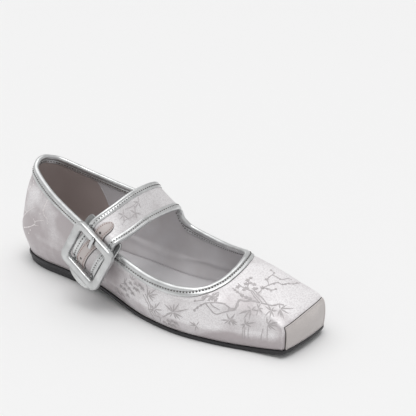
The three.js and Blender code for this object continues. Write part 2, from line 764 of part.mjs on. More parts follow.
function buildBuckleFrame() {
  const halfWindow = buckleWindow / 2;
  const halfWidth = halfWindow + buckleBarWidth;
  const halfHeight = buckleHeight / 2;
  const holeWidth = halfWindow + buckleBevel;
  const holeHeight = halfHeight - buckleBarWidth + buckleBevel;
  const outline = new THREE.Shape();
  const hole = new THREE.Path();
  roundedSquare(outline, halfWidth - buckleBevel, halfHeight - buckleBevel, buckleCorner);
  outline.holes.push(roundedSquare(hole, holeWidth, holeHeight, buckleCorner / 2));
  const geometry = new THREE.ExtrudeGeometry(outline, {
    depth: buckleThickness - 2 * buckleBevel,
    bevelThickness: buckleBevel,
    bevelSize: buckleBevel,
    bevelSegments: 2,
    curveSegments: 5,
  });
  geometry.translate(0, 0, buckleBevel - buckleThickness / 2);
  return onBuckleMesh('buckle_frame', geometry, silverLeather);
}

// A mesh whose own frame is the buckle's: X across, Y up, Z out from the foot
function onBuckleMesh(name, geometry, finish) {
  const piece = mesh(name, geometry, finish);
  piece.position.copy(buckleCentre);
  piece.quaternion.setFromRotationMatrix(buckleTurn);
  return piece;
}

function buildBuckleBar() {
  const length = buckleWindow - 2 * clearance;
  const radius = centreBarDiameter / 2;
  const sides = 10;
  const geometry = new THREE.CylinderGeometry(radius, radius, length, sides);
  geometry.rotateZ(Math.PI / 2);
  geometry.translate(0, 0, -centreBarSet);
  return onBuckleMesh('buckle_bar', geometry, silverLeather);
}

// The prong comes out of the patch half way up the window and lies on the upper bar
function buildBuckleProng() {
  const radius = prongDiameter / 2;
  const onPatch = halfRise + strapTop;
  const foot = new THREE.Vector3(0, riseReach, onPatch + 2 * clearance + radius);
  const tip = new THREE.Vector3(0, barMiddle, buckleThickness / 2 + clearance + radius);
  const direction = tip.clone().sub(foot);
  const sides = 8;
  const tipRadius = radius * 0.8;
  const geometry = new THREE.CylinderGeometry(tipRadius, radius, direction.length(), sides);
  geometry.applyQuaternion(new THREE.Quaternion().setFromUnitVectors(
    new THREE.Vector3(0, 1, 0), direction.clone().normalize(),
  ));
  const middle = foot.add(tip).multiplyScalar(0.5);
  geometry.translate(middle.x, middle.y, middle.z);
  return onBuckleMesh('buckle_prong', geometry, steel);
}

// The tab that holds the buckle: from over the topline, down the side of the upper and out to
// behind the centre bar
function buildBuckleTab() {
  const depth = tabThickness / 2;
  const behindBar = -(centreBarDiameter / 2 + centreBarSet + clearance + depth);
  const rows = tabSections.map((row) => ({
    half: row.half * strapWidth,
    down: row.down * buckleHeight,
    out: row.out === null ? behindBar : row.out * buckleHeight,
  }));
  const sections = rows.map((row, i) => {
    const before = rows[Math.max(i - 1, 0)];
    const after = rows[Math.min(i + 1, rows.length - 1)];
    const face = new THREE.Vector2(before.out - after.out, after.down - before.down).normalize();
    return plainSection(row.half, -depth, depth).map(([side, out]) => (
      onBuckle(side, row.down + face.x * out, row.out + face.y * out)
    ));
  });
  return mesh('buckle_tab', skin(sections, false), silverLeather);
}

function mesh(name, geometry, finish) {
  const piece = new THREE.Mesh(geometry, finish);
  piece.name = name;
  return piece;
}

// The whole shoe, moved so that its frame's origin is under the middle of its box, on the floor
function buildShoe() {
  const shoe = new THREE.Group();
  shoe.add(
    buildOutsole(),
    buildHeel(),
    buildInsole(),
    buildUpper(),
    buildToePanel(),
    buildCollarBinding(),
    buildStrap(),
    buildStrapBinding('strap_rear_binding', -1),
    buildStrapBinding('strap_front_binding', 1),
    buildStrapPatch(),
    buildStrapTip(),
    buildBuckleFrame(),
    buildBuckleBar(),
    buildBuckleProng(),
    buildBuckleTab(),
  );
  shoe.updateMatrixWorld(true);
  const box = new THREE.Box3().setFromObject(shoe, true);
  const middle = box.getCenter(new THREE.Vector3());
  shoe.position.set(-middle.x, -middle.y, -box.min.z);
  return shoe;
}

export default buildShoe();
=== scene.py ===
import math

import bmesh
import bpy
import numpy as np
from bpy.props import FloatProperty, FloatVectorProperty, PointerProperty
from mathutils import Matrix, Vector
from mathutils import noise
from mathutils.bvhtree import BVHTree


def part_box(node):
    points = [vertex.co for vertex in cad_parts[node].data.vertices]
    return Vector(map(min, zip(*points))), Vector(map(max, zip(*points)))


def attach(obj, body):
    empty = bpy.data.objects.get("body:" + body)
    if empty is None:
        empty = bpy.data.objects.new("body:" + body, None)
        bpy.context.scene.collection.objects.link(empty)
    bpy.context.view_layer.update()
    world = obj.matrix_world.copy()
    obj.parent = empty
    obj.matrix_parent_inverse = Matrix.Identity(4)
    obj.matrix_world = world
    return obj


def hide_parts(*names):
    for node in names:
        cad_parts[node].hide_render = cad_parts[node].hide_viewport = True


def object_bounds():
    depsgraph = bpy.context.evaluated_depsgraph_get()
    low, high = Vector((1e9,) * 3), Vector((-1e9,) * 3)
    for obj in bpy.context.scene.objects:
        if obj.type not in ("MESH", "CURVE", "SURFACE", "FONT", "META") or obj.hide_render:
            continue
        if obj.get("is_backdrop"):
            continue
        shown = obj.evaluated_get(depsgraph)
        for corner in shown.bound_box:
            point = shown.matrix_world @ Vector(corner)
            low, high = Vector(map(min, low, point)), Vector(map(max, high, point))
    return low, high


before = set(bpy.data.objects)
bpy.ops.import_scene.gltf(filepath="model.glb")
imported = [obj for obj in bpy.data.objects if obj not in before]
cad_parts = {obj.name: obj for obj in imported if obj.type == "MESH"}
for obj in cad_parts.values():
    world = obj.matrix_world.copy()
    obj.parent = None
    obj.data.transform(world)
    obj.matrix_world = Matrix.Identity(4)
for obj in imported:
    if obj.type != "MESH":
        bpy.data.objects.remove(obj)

bl_info = {
    "name": "Mary Jane Flat",
    "version": (1, 0, 0),
    "blender": (4, 5, 0),
    "location": "View3D > Sidebar > Shoe",
    "description": "Dresses a packed mary jane flat: satin with woven figures, silver binding and buckle",
    "category": "Object",
}

cad_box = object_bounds()

# Sizes of the last, the sole and the trims, in millimetres in the shoe's own frame:
# x from the heel's back to the toe, y to the inner side, z up from the floor
MM = 0.001
SOLE_LOW, SOLE_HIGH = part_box("outsole")
SOLE_LENGTH = (SOLE_HIGH.x - SOLE_LOW.x) / MM
BALL_WIDTH = 78.0
COUNTER_HEIGHT = 76.0
TOE_HEIGHT = 24.0
HEEL_HEIGHT = 4.5
HEEL_LENGTH = 62.0
SOLE_THICKNESS = 2.4
ARCH_RAISE = 1.6
TOE_SPRING = 3.5
TREAD_START = 140.0
TREAD_END = 204.0
INSOLE_THICKNESS = 2.0
WALL = 1.6
FEATHER_INSET = 1.1
CLEARANCE = 0.3
STRAP_WIDTH = 24.0
STRAP_THICKNESS = 2.0
PATCH_WIDTH = 8.0
PATCH_THICKNESS = 0.9
BUCKLE_WINDOW = 26.0
BUCKLE_HEIGHT = 35.0
BUCKLE_BAR_WIDTH = 5.6
BUCKLE_THICKNESS = 4.0
BUCKLE_CORNER = 6.0
CENTRE_BAR_DIAMETER = 2.2
CENTRE_BAR_SET = 4.2
STRAP_BINDING_THICKNESS = 0.5
STRAP_DIP = 0.5
TIP_LENGTH = 9.0
TIP_SQUARENESS = 0.7
TAB_THICKNESS = 1.4

# The sole's outline: along as a share of its length, lateral and medial as shares of ball width
OUTLINE = (
    (0.000, 0.000, 0.000), (0.014, 0.140, 0.140), (0.050, 0.240, 0.245), (0.124, 0.302, 0.315),
    (0.227, 0.316, 0.325), (0.351, 0.352, 0.310), (0.475, 0.423, 0.340), (0.599, 0.487, 0.430),
    (0.702, 0.500, 0.494), (0.806, 0.442, 0.468), (0.905, 0.352, 0.385), (0.968, 0.305, 0.318),
    (0.992, 0.262, 0.268), (1.000, 0.000, 0.000),
)

# The upper's sections: place of the foot on the outline, then the top edge's x, y and z as shares
# of sole length, ball width and counter height, the belly and the shoulder's reach as shares of
# ball width, the shoulder's height and turn as shares of toe height, the crown of ball width
LATERAL = (
    (0, 0.041, 0.000, 0.993, 0.072, 0.040, 1.80, 0.40, 0.010),
    (1, 0.045, 0.077, 0.974, 0.068, 0.038, 1.80, 0.40, 0.010),
    (2, 0.070, 0.164, 0.921, 0.058, 0.036, 1.75, 0.40, 0.010),
    (3, 0.157, 0.267, 0.816, 0.048, 0.040, 1.60, 0.40, 0.010),
    (4, 0.252, 0.359, 0.743, 0.055, 0.060, 1.40, 0.40, 0.008),
    (5, 0.355, 0.431, 0.664, 0.070, 0.085, 1.20, 0.35, 0.006),
    (6, 0.471, 0.472, 0.546, 0.050, 0.055, 1.00, 0.30, 0.006),
    (7, 0.587, 0.485, 0.441, 0.035, 0.022, 0.88, 0.30, 0.008),
    (8, 0.669, 0.469, 0.414, 0.030, 0.004, 0.82, 0.30, 0.010),
    (9, 0.723, 0.410, 0.414, 0.028, -0.012, 0.80, 0.25, 0.012),
    (10, 0.750, 0.321, 0.421, 0.020, -0.014, 0.80, 0.18, 0.016),
    (11, 0.762, 0.224, 0.437, 0.012, -0.010, 0.80, 0.12, 0.020),
    (12, 0.768, 0.135, 0.458, 0.008, -0.004, 0.86, 0.10, 0.022),
    (13, 0.769, 0.000, 0.495, 0.010, -0.008, 1.00, 0.10, 0.024),
)
MEDIAL = (
    (0, 0.041, 0.000, 0.993, 0.072, 0.040, 1.80, 0.40, 0.010),
    (1, 0.045, 0.077, 0.980, 0.068, 0.038, 1.80, 0.40, 0.010),
    (2, 0.070, 0.173, 0.941, 0.058, 0.034, 1.75, 0.40, 0.010),
    (3, 0.153, 0.282, 0.842, 0.048, 0.036, 1.60, 0.40, 0.010),
    (4, 0.248, 0.365, 0.757, 0.055, 0.055, 1.40, 0.40, 0.008),
    (4.6, 0.310, 0.403, 0.717, 0.075, 0.090, 1.30, 0.35, 0.008),
    (5, 0.351, 0.413, 0.713, 0.085, 0.110, 1.25, 0.35, 0.008),
    (5.3, 0.374, 0.408, 0.730, 0.088, 0.118, 1.20, 0.35, 0.010),
    (5.45, 0.385, 0.392, 0.771, 0.088, 0.118, 1.20, 0.35, 0.012),
    (5.56, 0.401, 0.394, 0.751, 0.087, 0.115, 1.18, 0.35, 0.012),
    (5.98, 0.461, 0.386, 0.679, 0.082, 0.104, 1.12, 0.30, 0.012),
    (6.1, 0.476, 0.382, 0.661, 0.080, 0.100, 1.10, 0.30, 0.012),
    (6.3, 0.484, 0.394, 0.588, 0.072, 0.086, 1.05, 0.30, 0.010),
    (6.6, 0.504, 0.423, 0.521, 0.064, 0.068, 1.00, 0.30, 0.010),
    (7, 0.545, 0.433, 0.484, 0.050, 0.040, 0.92, 0.30, 0.010),
    (7.5, 0.603, 0.426, 0.458, 0.040, 0.020, 0.88, 0.30, 0.012),
    (8, 0.653, 0.397, 0.458, 0.034, 0.006, 0.86, 0.30, 0.014),
    (9, 0.707, 0.333, 0.489, 0.028, -0.008, 0.90, 0.25, 0.018),
    (10, 0.740, 0.263, 0.524, 0.020, -0.012, 0.98, 0.18, 0.022),
    (11, 0.757, 0.179, 0.532, 0.012, -0.010, 1.03, 0.12, 0.024),
    (12, 0.765, 0.096, 0.521, 0.010, -0.006, 1.05, 0.10, 0.024),
    (13, 0.769, 0.000, 0.495, 0.010, -0.008, 1.00, 0.10, 0.024),
)
ROOT_REAR_ROW = 8
ROOT_FRONT_ROW = 11
TOE_CORNER_ROW = 20

# The strap's middle line over the instep, as shares of sole length, ball width and counter height,
# and how far its front edge tips down, in degrees
STRAP_ROWS = (
    (0.446, 0.315, 0.786, 30), (0.463, 0.205, 0.842, 42), (0.469, 0.040, 0.860, 50),
    (0.471, -0.154, 0.848, 50), (0.469, -0.359, 0.795, 44),
)

# The buckle's centre in the same shares, its roll and its lean in degrees
BUCKLE_SEAT = (0.415, -0.609, 0.507)
BUCKLE_ROLL = 30
BUCKLE_LEAN = 4

# The buckle tab: down from the buckle's centre and out from the foot as shares of the buckle's
# height, and its reach to the rear and to the front as shares of the strap's width; None lies
# behind the centre bar
TAB_ROWS = (
    (-0.595, -0.250, 0.50, 0.50), (-0.570, -0.250, 0.68, 0.585), (-0.480, -0.245, 0.76, 0.60),
    (-0.340, -0.210, 0.76, 0.61), (-0.230, -0.180, 0.70, 0.62), (-0.140, -0.160, 0.60, 0.62),
    (-0.030, None, 0.50, 0.56), (0.057, None, 0.48, 0.48),
)

# How finely the pieces are divided, and the angle from which an edge is drawn sharp
PLACES_PER_ROW = 8
STEPS_UP = 40
SHARP_EDGE = math.radians(50)


def catmull(before, a, b, after, share):
    """A smooth value between a and b, led by their neighbours."""
    slope_a = (b - before) / 2
    slope_b = (after - a) / 2
    s2 = share * share
    s3 = s2 * share
    blend = a * (2 * s3 - 3 * s2 + 1) + b * (3 * s2 - 2 * s3)
    return blend + slope_a * (s3 - 2 * s2 + share) + slope_b * (s3 - s2)


def four_near(rows, index):
    """A row, the next one and their neighbours; the end rows stand in for what lies past them."""
    return [rows[min(max(index + offset, 0), len(rows) - 1)] for offset in (-1, 0, 1, 2)]


def places_between(first, last, count):
    return [first + (last - first) * step / count for step in range(count + 1)]


def circle(count):
    """The angles of evenly spaced points round a circle."""
    return [2 * math.pi * k / count for k in range(count)]


def ring_of(lateral, medial):
    return np.array(list(lateral) + list(medial)[1:-1][::-1], float)


def ring_value(ring, place, lap=0.0):
    """All columns of a ring at a place counted in rows; the first column gains a lap each round."""
    count = len(ring)
    index = math.floor(place)
    rows = []
    for offset in (-1, 0, 1, 2):
        at = index + offset
        row = ring[at % count].copy()
        row[0] += lap * (at // count)
        rows.append(row)
    return catmull(*rows, place - index)


outline_ring = ring_of(
    [(along * SOLE_LENGTH, -lateral * BALL_WIDTH) for along, lateral, _ in OUTLINE],
    [(along * SOLE_LENGTH, medial * BALL_WIDTH) for along, _, medial in OUTLINE],
)
OUTLINE_LAP = len(outline_ring)
TOE_PLACE = len(OUTLINE) - 1


def outline_point(place):
    x, y = ring_value(outline_ring, place)
    return np.array((x, y, 0.0))


def unit(vector):
    return vector / np.linalg.norm(vector)


def outline_normal(place, reach=0.05):
    along = outline_point(place + reach) - outline_point(place - reach)
    return unit(np.cross(along, (0, 0, 1)))


def ease(share):
    return share * share * (3 - 2 * share)


def underside_height(x):
    if x <= HEEL_LENGTH:
        return HEEL_HEIGHT
    if x < TREAD_START:
        share = (x - HEEL_LENGTH) / (TREAD_START - HEEL_LENGTH)
        return HEEL_HEIGHT * (1 - ease(share)) + ARCH_RAISE * math.sin(math.pi * share) ** 2
    if x <= TREAD_END:
        return 0.0
    return TOE_SPRING * ((x - TREAD_END) / (SOLE_LENGTH - TREAD_END)) ** 2


def seat_height(x):
    return underside_height(x) + SOLE_THICKNESS


# The frame's origin lies under the middle of the CAD model's box
lateral_reach = min(outline_point(step / 3)[1] for step in range(3 * TOE_PLACE + 1))
SHIFT = Vector((SOLE_LOW.x, SOLE_LOW.y - lateral_reach * MM, 0.0))


def placed(point):
    """A point in the shoe's own millimetres, as a point of the frame in metres."""
    return Vector((point[0] * MM, point[1] * MM, point[2] * MM)) + SHIFT


def upper_row(row, side):
    foot, x, y, z, belly, out, rise, turn, crown = row
    place = foot if side < 0 else OUTLINE_LAP - foot
    return (
        place, x * SOLE_LENGTH, side * y * BALL_WIDTH, z * COUNTER_HEIGHT, belly * BALL_WIDTH,
        out * BALL_WIDTH, rise * TOE_HEIGHT, turn * TOE_HEIGHT, crown * BALL_WIDTH,
    )


upper_ring = ring_of([upper_row(row, -1) for row in LATERAL], [upper_row(row, 1) for row in MEDIAL])
RING = len(upper_ring)
ROOT_REAR = RING - ROOT_REAR_ROW
ROOT_FRONT = RING - ROOT_FRONT_ROW
TOE_CORNER_LATERAL = 12
TOE_CORNER_MEDIAL = RING - TOE_CORNER_ROW


def towards(start, end, distance, most=0.6):
    return start + (end - start) * min(most, distance / np.linalg.norm(end - start))


def rib_controls(place):
    """The six points that lead one rib of the upper from its feather edge to its top edge."""
    foot_place, x, y, z, belly_out, out, rise, turn, crown_out = ring_value(
        upper_ring, place, OUTLINE_LAP)
    outward = outline_normal(foot_place)
    foot = outline_point(foot_place) - outward * FEATHER_INSET
    foot[2] = seat_height(foot[0]) + CLEARANCE
    top = np.array((x, y, z))
    shoulder = foot + outward * out
    shoulder[2] = rise
    belly = foot + outward * belly_out
    belly[2] = (foot[2] + shoulder[2]) / 2
    chord = top - shoulder
    lift = unit(np.cross(chord, np.cross((0, 0, 1), outward)))
    if np.dot(lift, outward) + lift[2] < 0:
        lift = -lift
    crown = shoulder + chord / 2 + lift * crown_out
    return [foot, belly, towards(shoulder, belly, turn), towards(shoulder, crown, turn), crown, top]


def smooth_through(points, share):
    """A centripetal curve through some points, at a share of its spans."""
    last = len(points) - 1
    along = share * last
    index = min(int(along), last - 1)
    weight = along - index
    b, c = points[index], points[index + 1]
    a = points[index - 1] if index > 0 else 2 * b - c
    d = points[index + 2] if index + 2 <= last else 2 * c - b
    gap_a, gap_b, gap_c = (math.sqrt(np.linalg.norm(q - p)) for p, q in ((a, b), (b, c), (c, d)))
    slope_b = ((b - a) / gap_a - (c - a) / (gap_a + gap_b) + (c - b) / gap_b) * gap_b
    slope_c = ((c - b) / gap_b - (d - b) / (gap_b + gap_c) + (d - c) / gap_c) * gap_b
    w2 = weight * weight
    w3 = w2 * weight
    blend = b * (2 * w3 - 3 * w2 + 1) + c * (3 * w2 - 2 * w3)
    return blend + slope_b * (w3 - 2 * w2 + weight) + slope_c * (w3 - w2)


def wall_grid():
    """The outer face of the upper as a grid of points, rib by rib, and the normals there."""
    shares = np.linspace(0, 1, STEPS_UP + 1)
    grid = []
    for i in range(RING * PLACES_PER_ROW):
        controls = rib_controls(i / PLACES_PER_ROW)
        grid.append([smooth_through(controls, share) for share in shares])
    grid = np.array(grid)
    ahead = np.roll(grid, -1, axis=0) - np.roll(grid, 1, axis=0)
    upward = np.gradient(grid, axis=1)
    normals = np.cross(ahead, upward)
    normals[:, 0, 2] = 0
    normals /= np.linalg.norm(normals, axis=2, keepdims=True)
    return grid, normals


wall_points, wall_normals = wall_grid()


def on_wall(place, share, offset=0.0):
    """A point of the upper's outer face, raised by an offset."""
    u = (place % RING) * PLACES_PER_ROW
    v = min(max(share, 0.0), 1.0) * STEPS_UP
    i, j = int(u), min(int(v), STEPS_UP - 1)
    fu, fv = u - i, v - j
    count = len(wall_points)
    both = []
    for grid in (wall_points, wall_normals):
        low = grid[i % count, j] * (1 - fu) + grid[(i + 1) % count, j] * fu
        high = grid[i % count, j + 1] * (1 - fu) + grid[(i + 1) % count, j + 1] * fu
        both.append(low * (1 - fv) + high * fv)
    return both[0] + unit(both[1]) * offset


def wall_normal(place, share):
    return on_wall(place, share, 1.0) - on_wall(place, share)


# Soft creases of the satin: middle, run and half length, half width and depth (below 0 sinks)
CREASES = (
    ((119.0, -38.0, 31.0), (0.3, 0.0, 1.0), 9.0, 5.0, -0.55),
    ((129.0, -39.0, 22.0), (0.5, 0.0, 1.0), 12.0, 6.0, 0.30),
    ((168.0, -39.0, 17.0), (1.0, 0.0, 0.25), 22.0, 4.0, 0.25),
    ((196.0, -33.0, 12.0), (1.0, 0.2, -0.1), 20.0, 4.0, -0.30),
    ((231.0, -22.0, 16.0), (0.2, 0.2, 1.0), 9.0, 3.0, -0.25),
    ((232.0, 16.0, 26.0), (-1.0, 0.6, 0.2), 10.0, 3.0, -0.20),
    ((92.0, 33.0, 24.0), (1.0, 0.0, 0.3), 24.0, 7.0, -0.60),
    ((128.0, 35.0, 20.0), (0.6, 0.0, 1.0), 12.0, 5.0, -0.35),
    ((46.0, -26.0, 30.0), (0.4, 0.0, 1.0), 16.0, 7.0, -0.35),
    ((30.0, 23.0, 34.0), (0.3, 0.0, 1.0), 18.0, 8.0, -0.35),
    ((205.0, 4.0, 36.0), (0.2, 1.0, 0.0), 16.0, 5.0, -0.22),
)


def soft_wave(point, size, seed):
    return noise.noise(Vector((point[0] / size, point[1] / size, point[2] / size + seed)))


def satin_relief(point):
    """How far the pulled satin stands off the last: the creases and slight waves."""
    height = 0.18 * soft_wave(point, 17.0, 0.0) + 0.06 * soft_wave(point, 6.0, 9.0)
    for middle, run, half_length, half_width, depth in CREASES:
        reach = point - np.array(middle)
        along = np.dot(reach, unit(np.array(run)))
        aside = math.sqrt(max(np.dot(reach, reach) - along * along, 0.0))
        height += depth * math.exp(-(along / half_length) ** 2 - (aside / half_width) ** 2)
    return height


def satin_grid():
    """The wall's points moved by the relief, which fades out at both edges."""
    moved = wall_points.copy()
    steps = STEPS_UP + 1
    for j in range(1, steps):
        share = j / STEPS_UP
        room = min(share * 5, 1.0) * min((1 - share) * 6, 1.0)
        for i in range(len(moved)):
            moved[i, j] += wall_normals[i, j] * satin_relief(wall_points[i, j]) * room
    return moved


satin_points = satin_grid()


def grid_tree(points):
    count, steps = points.shape[:2]
    corners = [Vector(p) for p in points.reshape(-1, 3)]
    faces = []
    for i in range(count):
        for j in range(steps - 1):
            here, following = i * steps + j, (i + 1) % count * steps + j
            faces.append((here, following, following + 1, here + 1))
    return BVHTree.FromPolygons(corners, faces)


wall_search = grid_tree(wall_points)
satin_search = grid_tree(satin_points)


def nearest_on_wall(point):
    """The nearest point on the upper's outer face, the normal there, and its rib and step."""
    found, _, face, _ = wall_search.find_nearest(Vector(point))
    return seat_on_grid(wall_points, np.array(found), face)


def seen_on_satin(plane, a, b):
    """The satin's point under chart point a, b: seen from the top, or from one side of the shoe."""
    if plane == "top":
        start, look = Vector((a, b, 200.0)), Vector((0.0, 0.0, -1.0))
    else:
        side = -1.0 if plane == "lateral" else 1.0
        start, look = Vector((a, side * 200.0, b)), Vector((0.0, -side, 0.0))
    found, _, face, _ = satin_search.ray_cast(start, look)
    if found is None:
        return None
    return seat_on_grid(satin_points, np.array(found), face)


def seat_on_grid(points, found, face):
    """A point found on one face of a grid, with the smooth normal there, its rib and its step."""
    i, j = divmod(face, STEPS_UP)
    count = len(points)
    a, b = points[i, j], points[(i + 1) % count, j]
    d = points[i, j + 1]
    fu = min(max(np.dot(found - a, b - a) / max(np.dot(b - a, b - a), 1e-9), 0), 1)
    fv = min(max(np.dot(found - a, d - a) / max(np.dot(d - a, d - a), 1e-9), 0), 1)
    low = wall_normals[i, j] * (1 - fu) + wall_normals[(i + 1) % count, j] * fu
    high = wall_normals[i, j + 1] * (1 - fu) + wall_normals[(i + 1) % count, j + 1] * fu
    return found, unit(low * (1 - fv) + high * fv), (i + fu) / PLACES_PER_ROW, (j + fv) / STEPS_UP


# Helpers that make meshes and finish pieces

def linked(name, data):
    """A new object in the scene."""
    thing = bpy.data.objects.new(name, data)
    bpy.context.scene.collection.objects.link(thing)
    return thing


def mesh_object(name, vertices, faces, materials, face_materials=None):
    mesh = bpy.data.meshes.new(name)
    mesh.from_pydata([placed(p) for p in vertices], [], faces)
    for material in materials:
        mesh.materials.append(material)
    if face_materials:
        mesh.polygons.foreach_set("material_index", face_materials)
    mesh.update()
    mesh.shade_smooth()
    return linked(name, mesh)


MERGE_DISTANCE = 0.002 * MM


def turn_outward(piece):
    """Merges equal points and turns a closed piece's faces outward."""
    sheet = bmesh.new()
    sheet.from_mesh(piece.data)
    bmesh.ops.remove_doubles(sheet, verts=sheet.verts, dist=MERGE_DISTANCE)
    bmesh.ops.recalc_face_normals(sheet, faces=sheet.faces)
    sheet.to_mesh(piece.data)
    sheet.free()


def lofted(name, sections, materials, closed=False, second=()):
    """A body through sections of equally many points; an open row of sections gets end caps.

    The strips whose numbers are in second take the second material.
    """
    size, count = len(sections[0]), len(sections)
    vertices = [point for section in sections for point in section]
    faces, indices = [], []
    for i in range(count if closed else count - 1):
        here, following = i * size, (i + 1) % count * size
        for k in range(size):
            after = (k + 1) % size
            faces.append((here + k, following + k, following + after, here + after))
            indices.append(int(k in second))
    if not closed:
        faces += [tuple(reversed(range(size))), tuple(range((count - 1) * size, count * size))]
        indices += [0, 0]
    piece = mesh_object(name, vertices, faces, materials, indices)
    turn_outward(piece)
    return piece


def fitted(piece, slot, *nodes):
    """Lets a finished piece ride on the shoe and hides the CAD nodes it stands for. Its slot is not used."""
    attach(piece, "root")
    if nodes:
        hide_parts(*nodes)
    return piece


def joined(name, pieces):
    """One mesh out of several, with their materials kept."""
    whole = bmesh.new()
    materials = []
    for piece in pieces:
        slots = []
        for material in piece.data.materials:
            if material not in materials:
                materials.append(material)
            slots.append(materials.index(material))
        start = len(whole.faces)
        whole.from_mesh(piece.data)
        whole.faces.ensure_lookup_table()
        for face in whole.faces[start:]:
            face.material_index = slots[face.material_index]
    mesh = bpy.data.meshes.new(name)
    whole.to_mesh(mesh)
    whole.free()
    for material in materials:
        mesh.materials.append(material)
    for piece in pieces:
        bpy.data.objects.remove(piece)
    return linked(name, mesh)


def stitch_tree():
    """Geometry Nodes that lay short threads end to end along a curve."""
    tree = bpy.data.node_groups.new("thread row", "GeometryNodeTree")
    for label, way, kind in (
        ("Path", "INPUT", "Geometry"), ("Pitch", "INPUT", "Float"), ("Thread length", "INPUT", "Float"),
        ("Thread radius", "INPUT", "Float"), ("Finish", "INPUT", "Material"),
        ("Threads", "OUTPUT", "Geometry"),
    ):
        tree.interface.new_socket(label, in_out=way, socket_type="NodeSocket" + kind)
    given, made, points, thread, scale, half, spread, real, finish, smooth = (
        tree.nodes.new(kind) for kind in (
            "NodeGroupInput", "NodeGroupOutput", "GeometryNodeCurveToPoints", "GeometryNodeMeshUVSphere",
            "ShaderNodeCombineXYZ", "ShaderNodeMath", "GeometryNodeInstanceOnPoints",
            "GeometryNodeRealizeInstances", "GeometryNodeSetMaterial", "GeometryNodeSetShadeSmooth",
        ))
    points.mode = "LENGTH"
    for label, value in (("Segments", 8), ("Rings", 6), ("Radius", 1.0)):
        thread.inputs[label].default_value = value
    half.operation = "MULTIPLY"
    half.inputs[1].default_value = 0.5
    for source, output, target, socket in (
        (given, "Path", points, "Curve"), (given, "Pitch", points, "Length"),
        (given, "Thread length", half, 0), (given, "Thread radius", scale, "X"),
        (given, "Thread radius", scale, "Y"), (half, 0, scale, "Z"),
        (points, "Points", spread, "Points"), (points, "Rotation", spread, "Rotation"),
        (thread, "Mesh", spread, "Instance"), (scale, "Vector", spread, "Scale"),
        (spread, "Instances", real, "Geometry"), (real, "Geometry", smooth, "Geometry"),
        (smooth, "Geometry", finish, "Geometry"), (given, "Finish", finish, "Material"),
        (finish, "Geometry", made, "Threads"),
    ):
        tree.links.new(source.outputs[output], target.inputs[socket])
    return tree


def thread_row(name, points, pitch, length, radius, material):
    """A row of stitches along some points, laid by the stitch tree and made a plain mesh."""
    tree = bpy.data.node_groups.get("thread row") or stitch_tree()
    curve = bpy.data.curves.new(name, "CURVE")
    curve.dimensions = "3D"
    spline = curve.splines.new("POLY")
    spline.points.add(len(points) - 1)
    for at, point in zip(spline.points, points):
        at.co = (*placed(point), 1.0)
    path = linked(name + "_path", curve)
    modifier = path.modifiers.new("threads", "NODES")
    modifier.node_group = tree
    given = {
        "Pitch": pitch * MM, "Thread length": length * MM, "Thread radius": radius * MM,
        "Finish": material,
    }
    for socket in tree.interface.items_tree:
        if socket.name in given:
            modifier[socket.identifier] = given[socket.name]
    bpy.context.view_layer.update()
    evaluated = path.evaluated_get(bpy.context.evaluated_depsgraph_get())
    mesh = bpy.data.meshes.new_from_object(evaluated)
    mesh.name = name
    path.modifiers.remove(modifier)
    bpy.data.objects.remove(path)
    return linked(name, mesh)


# Materials

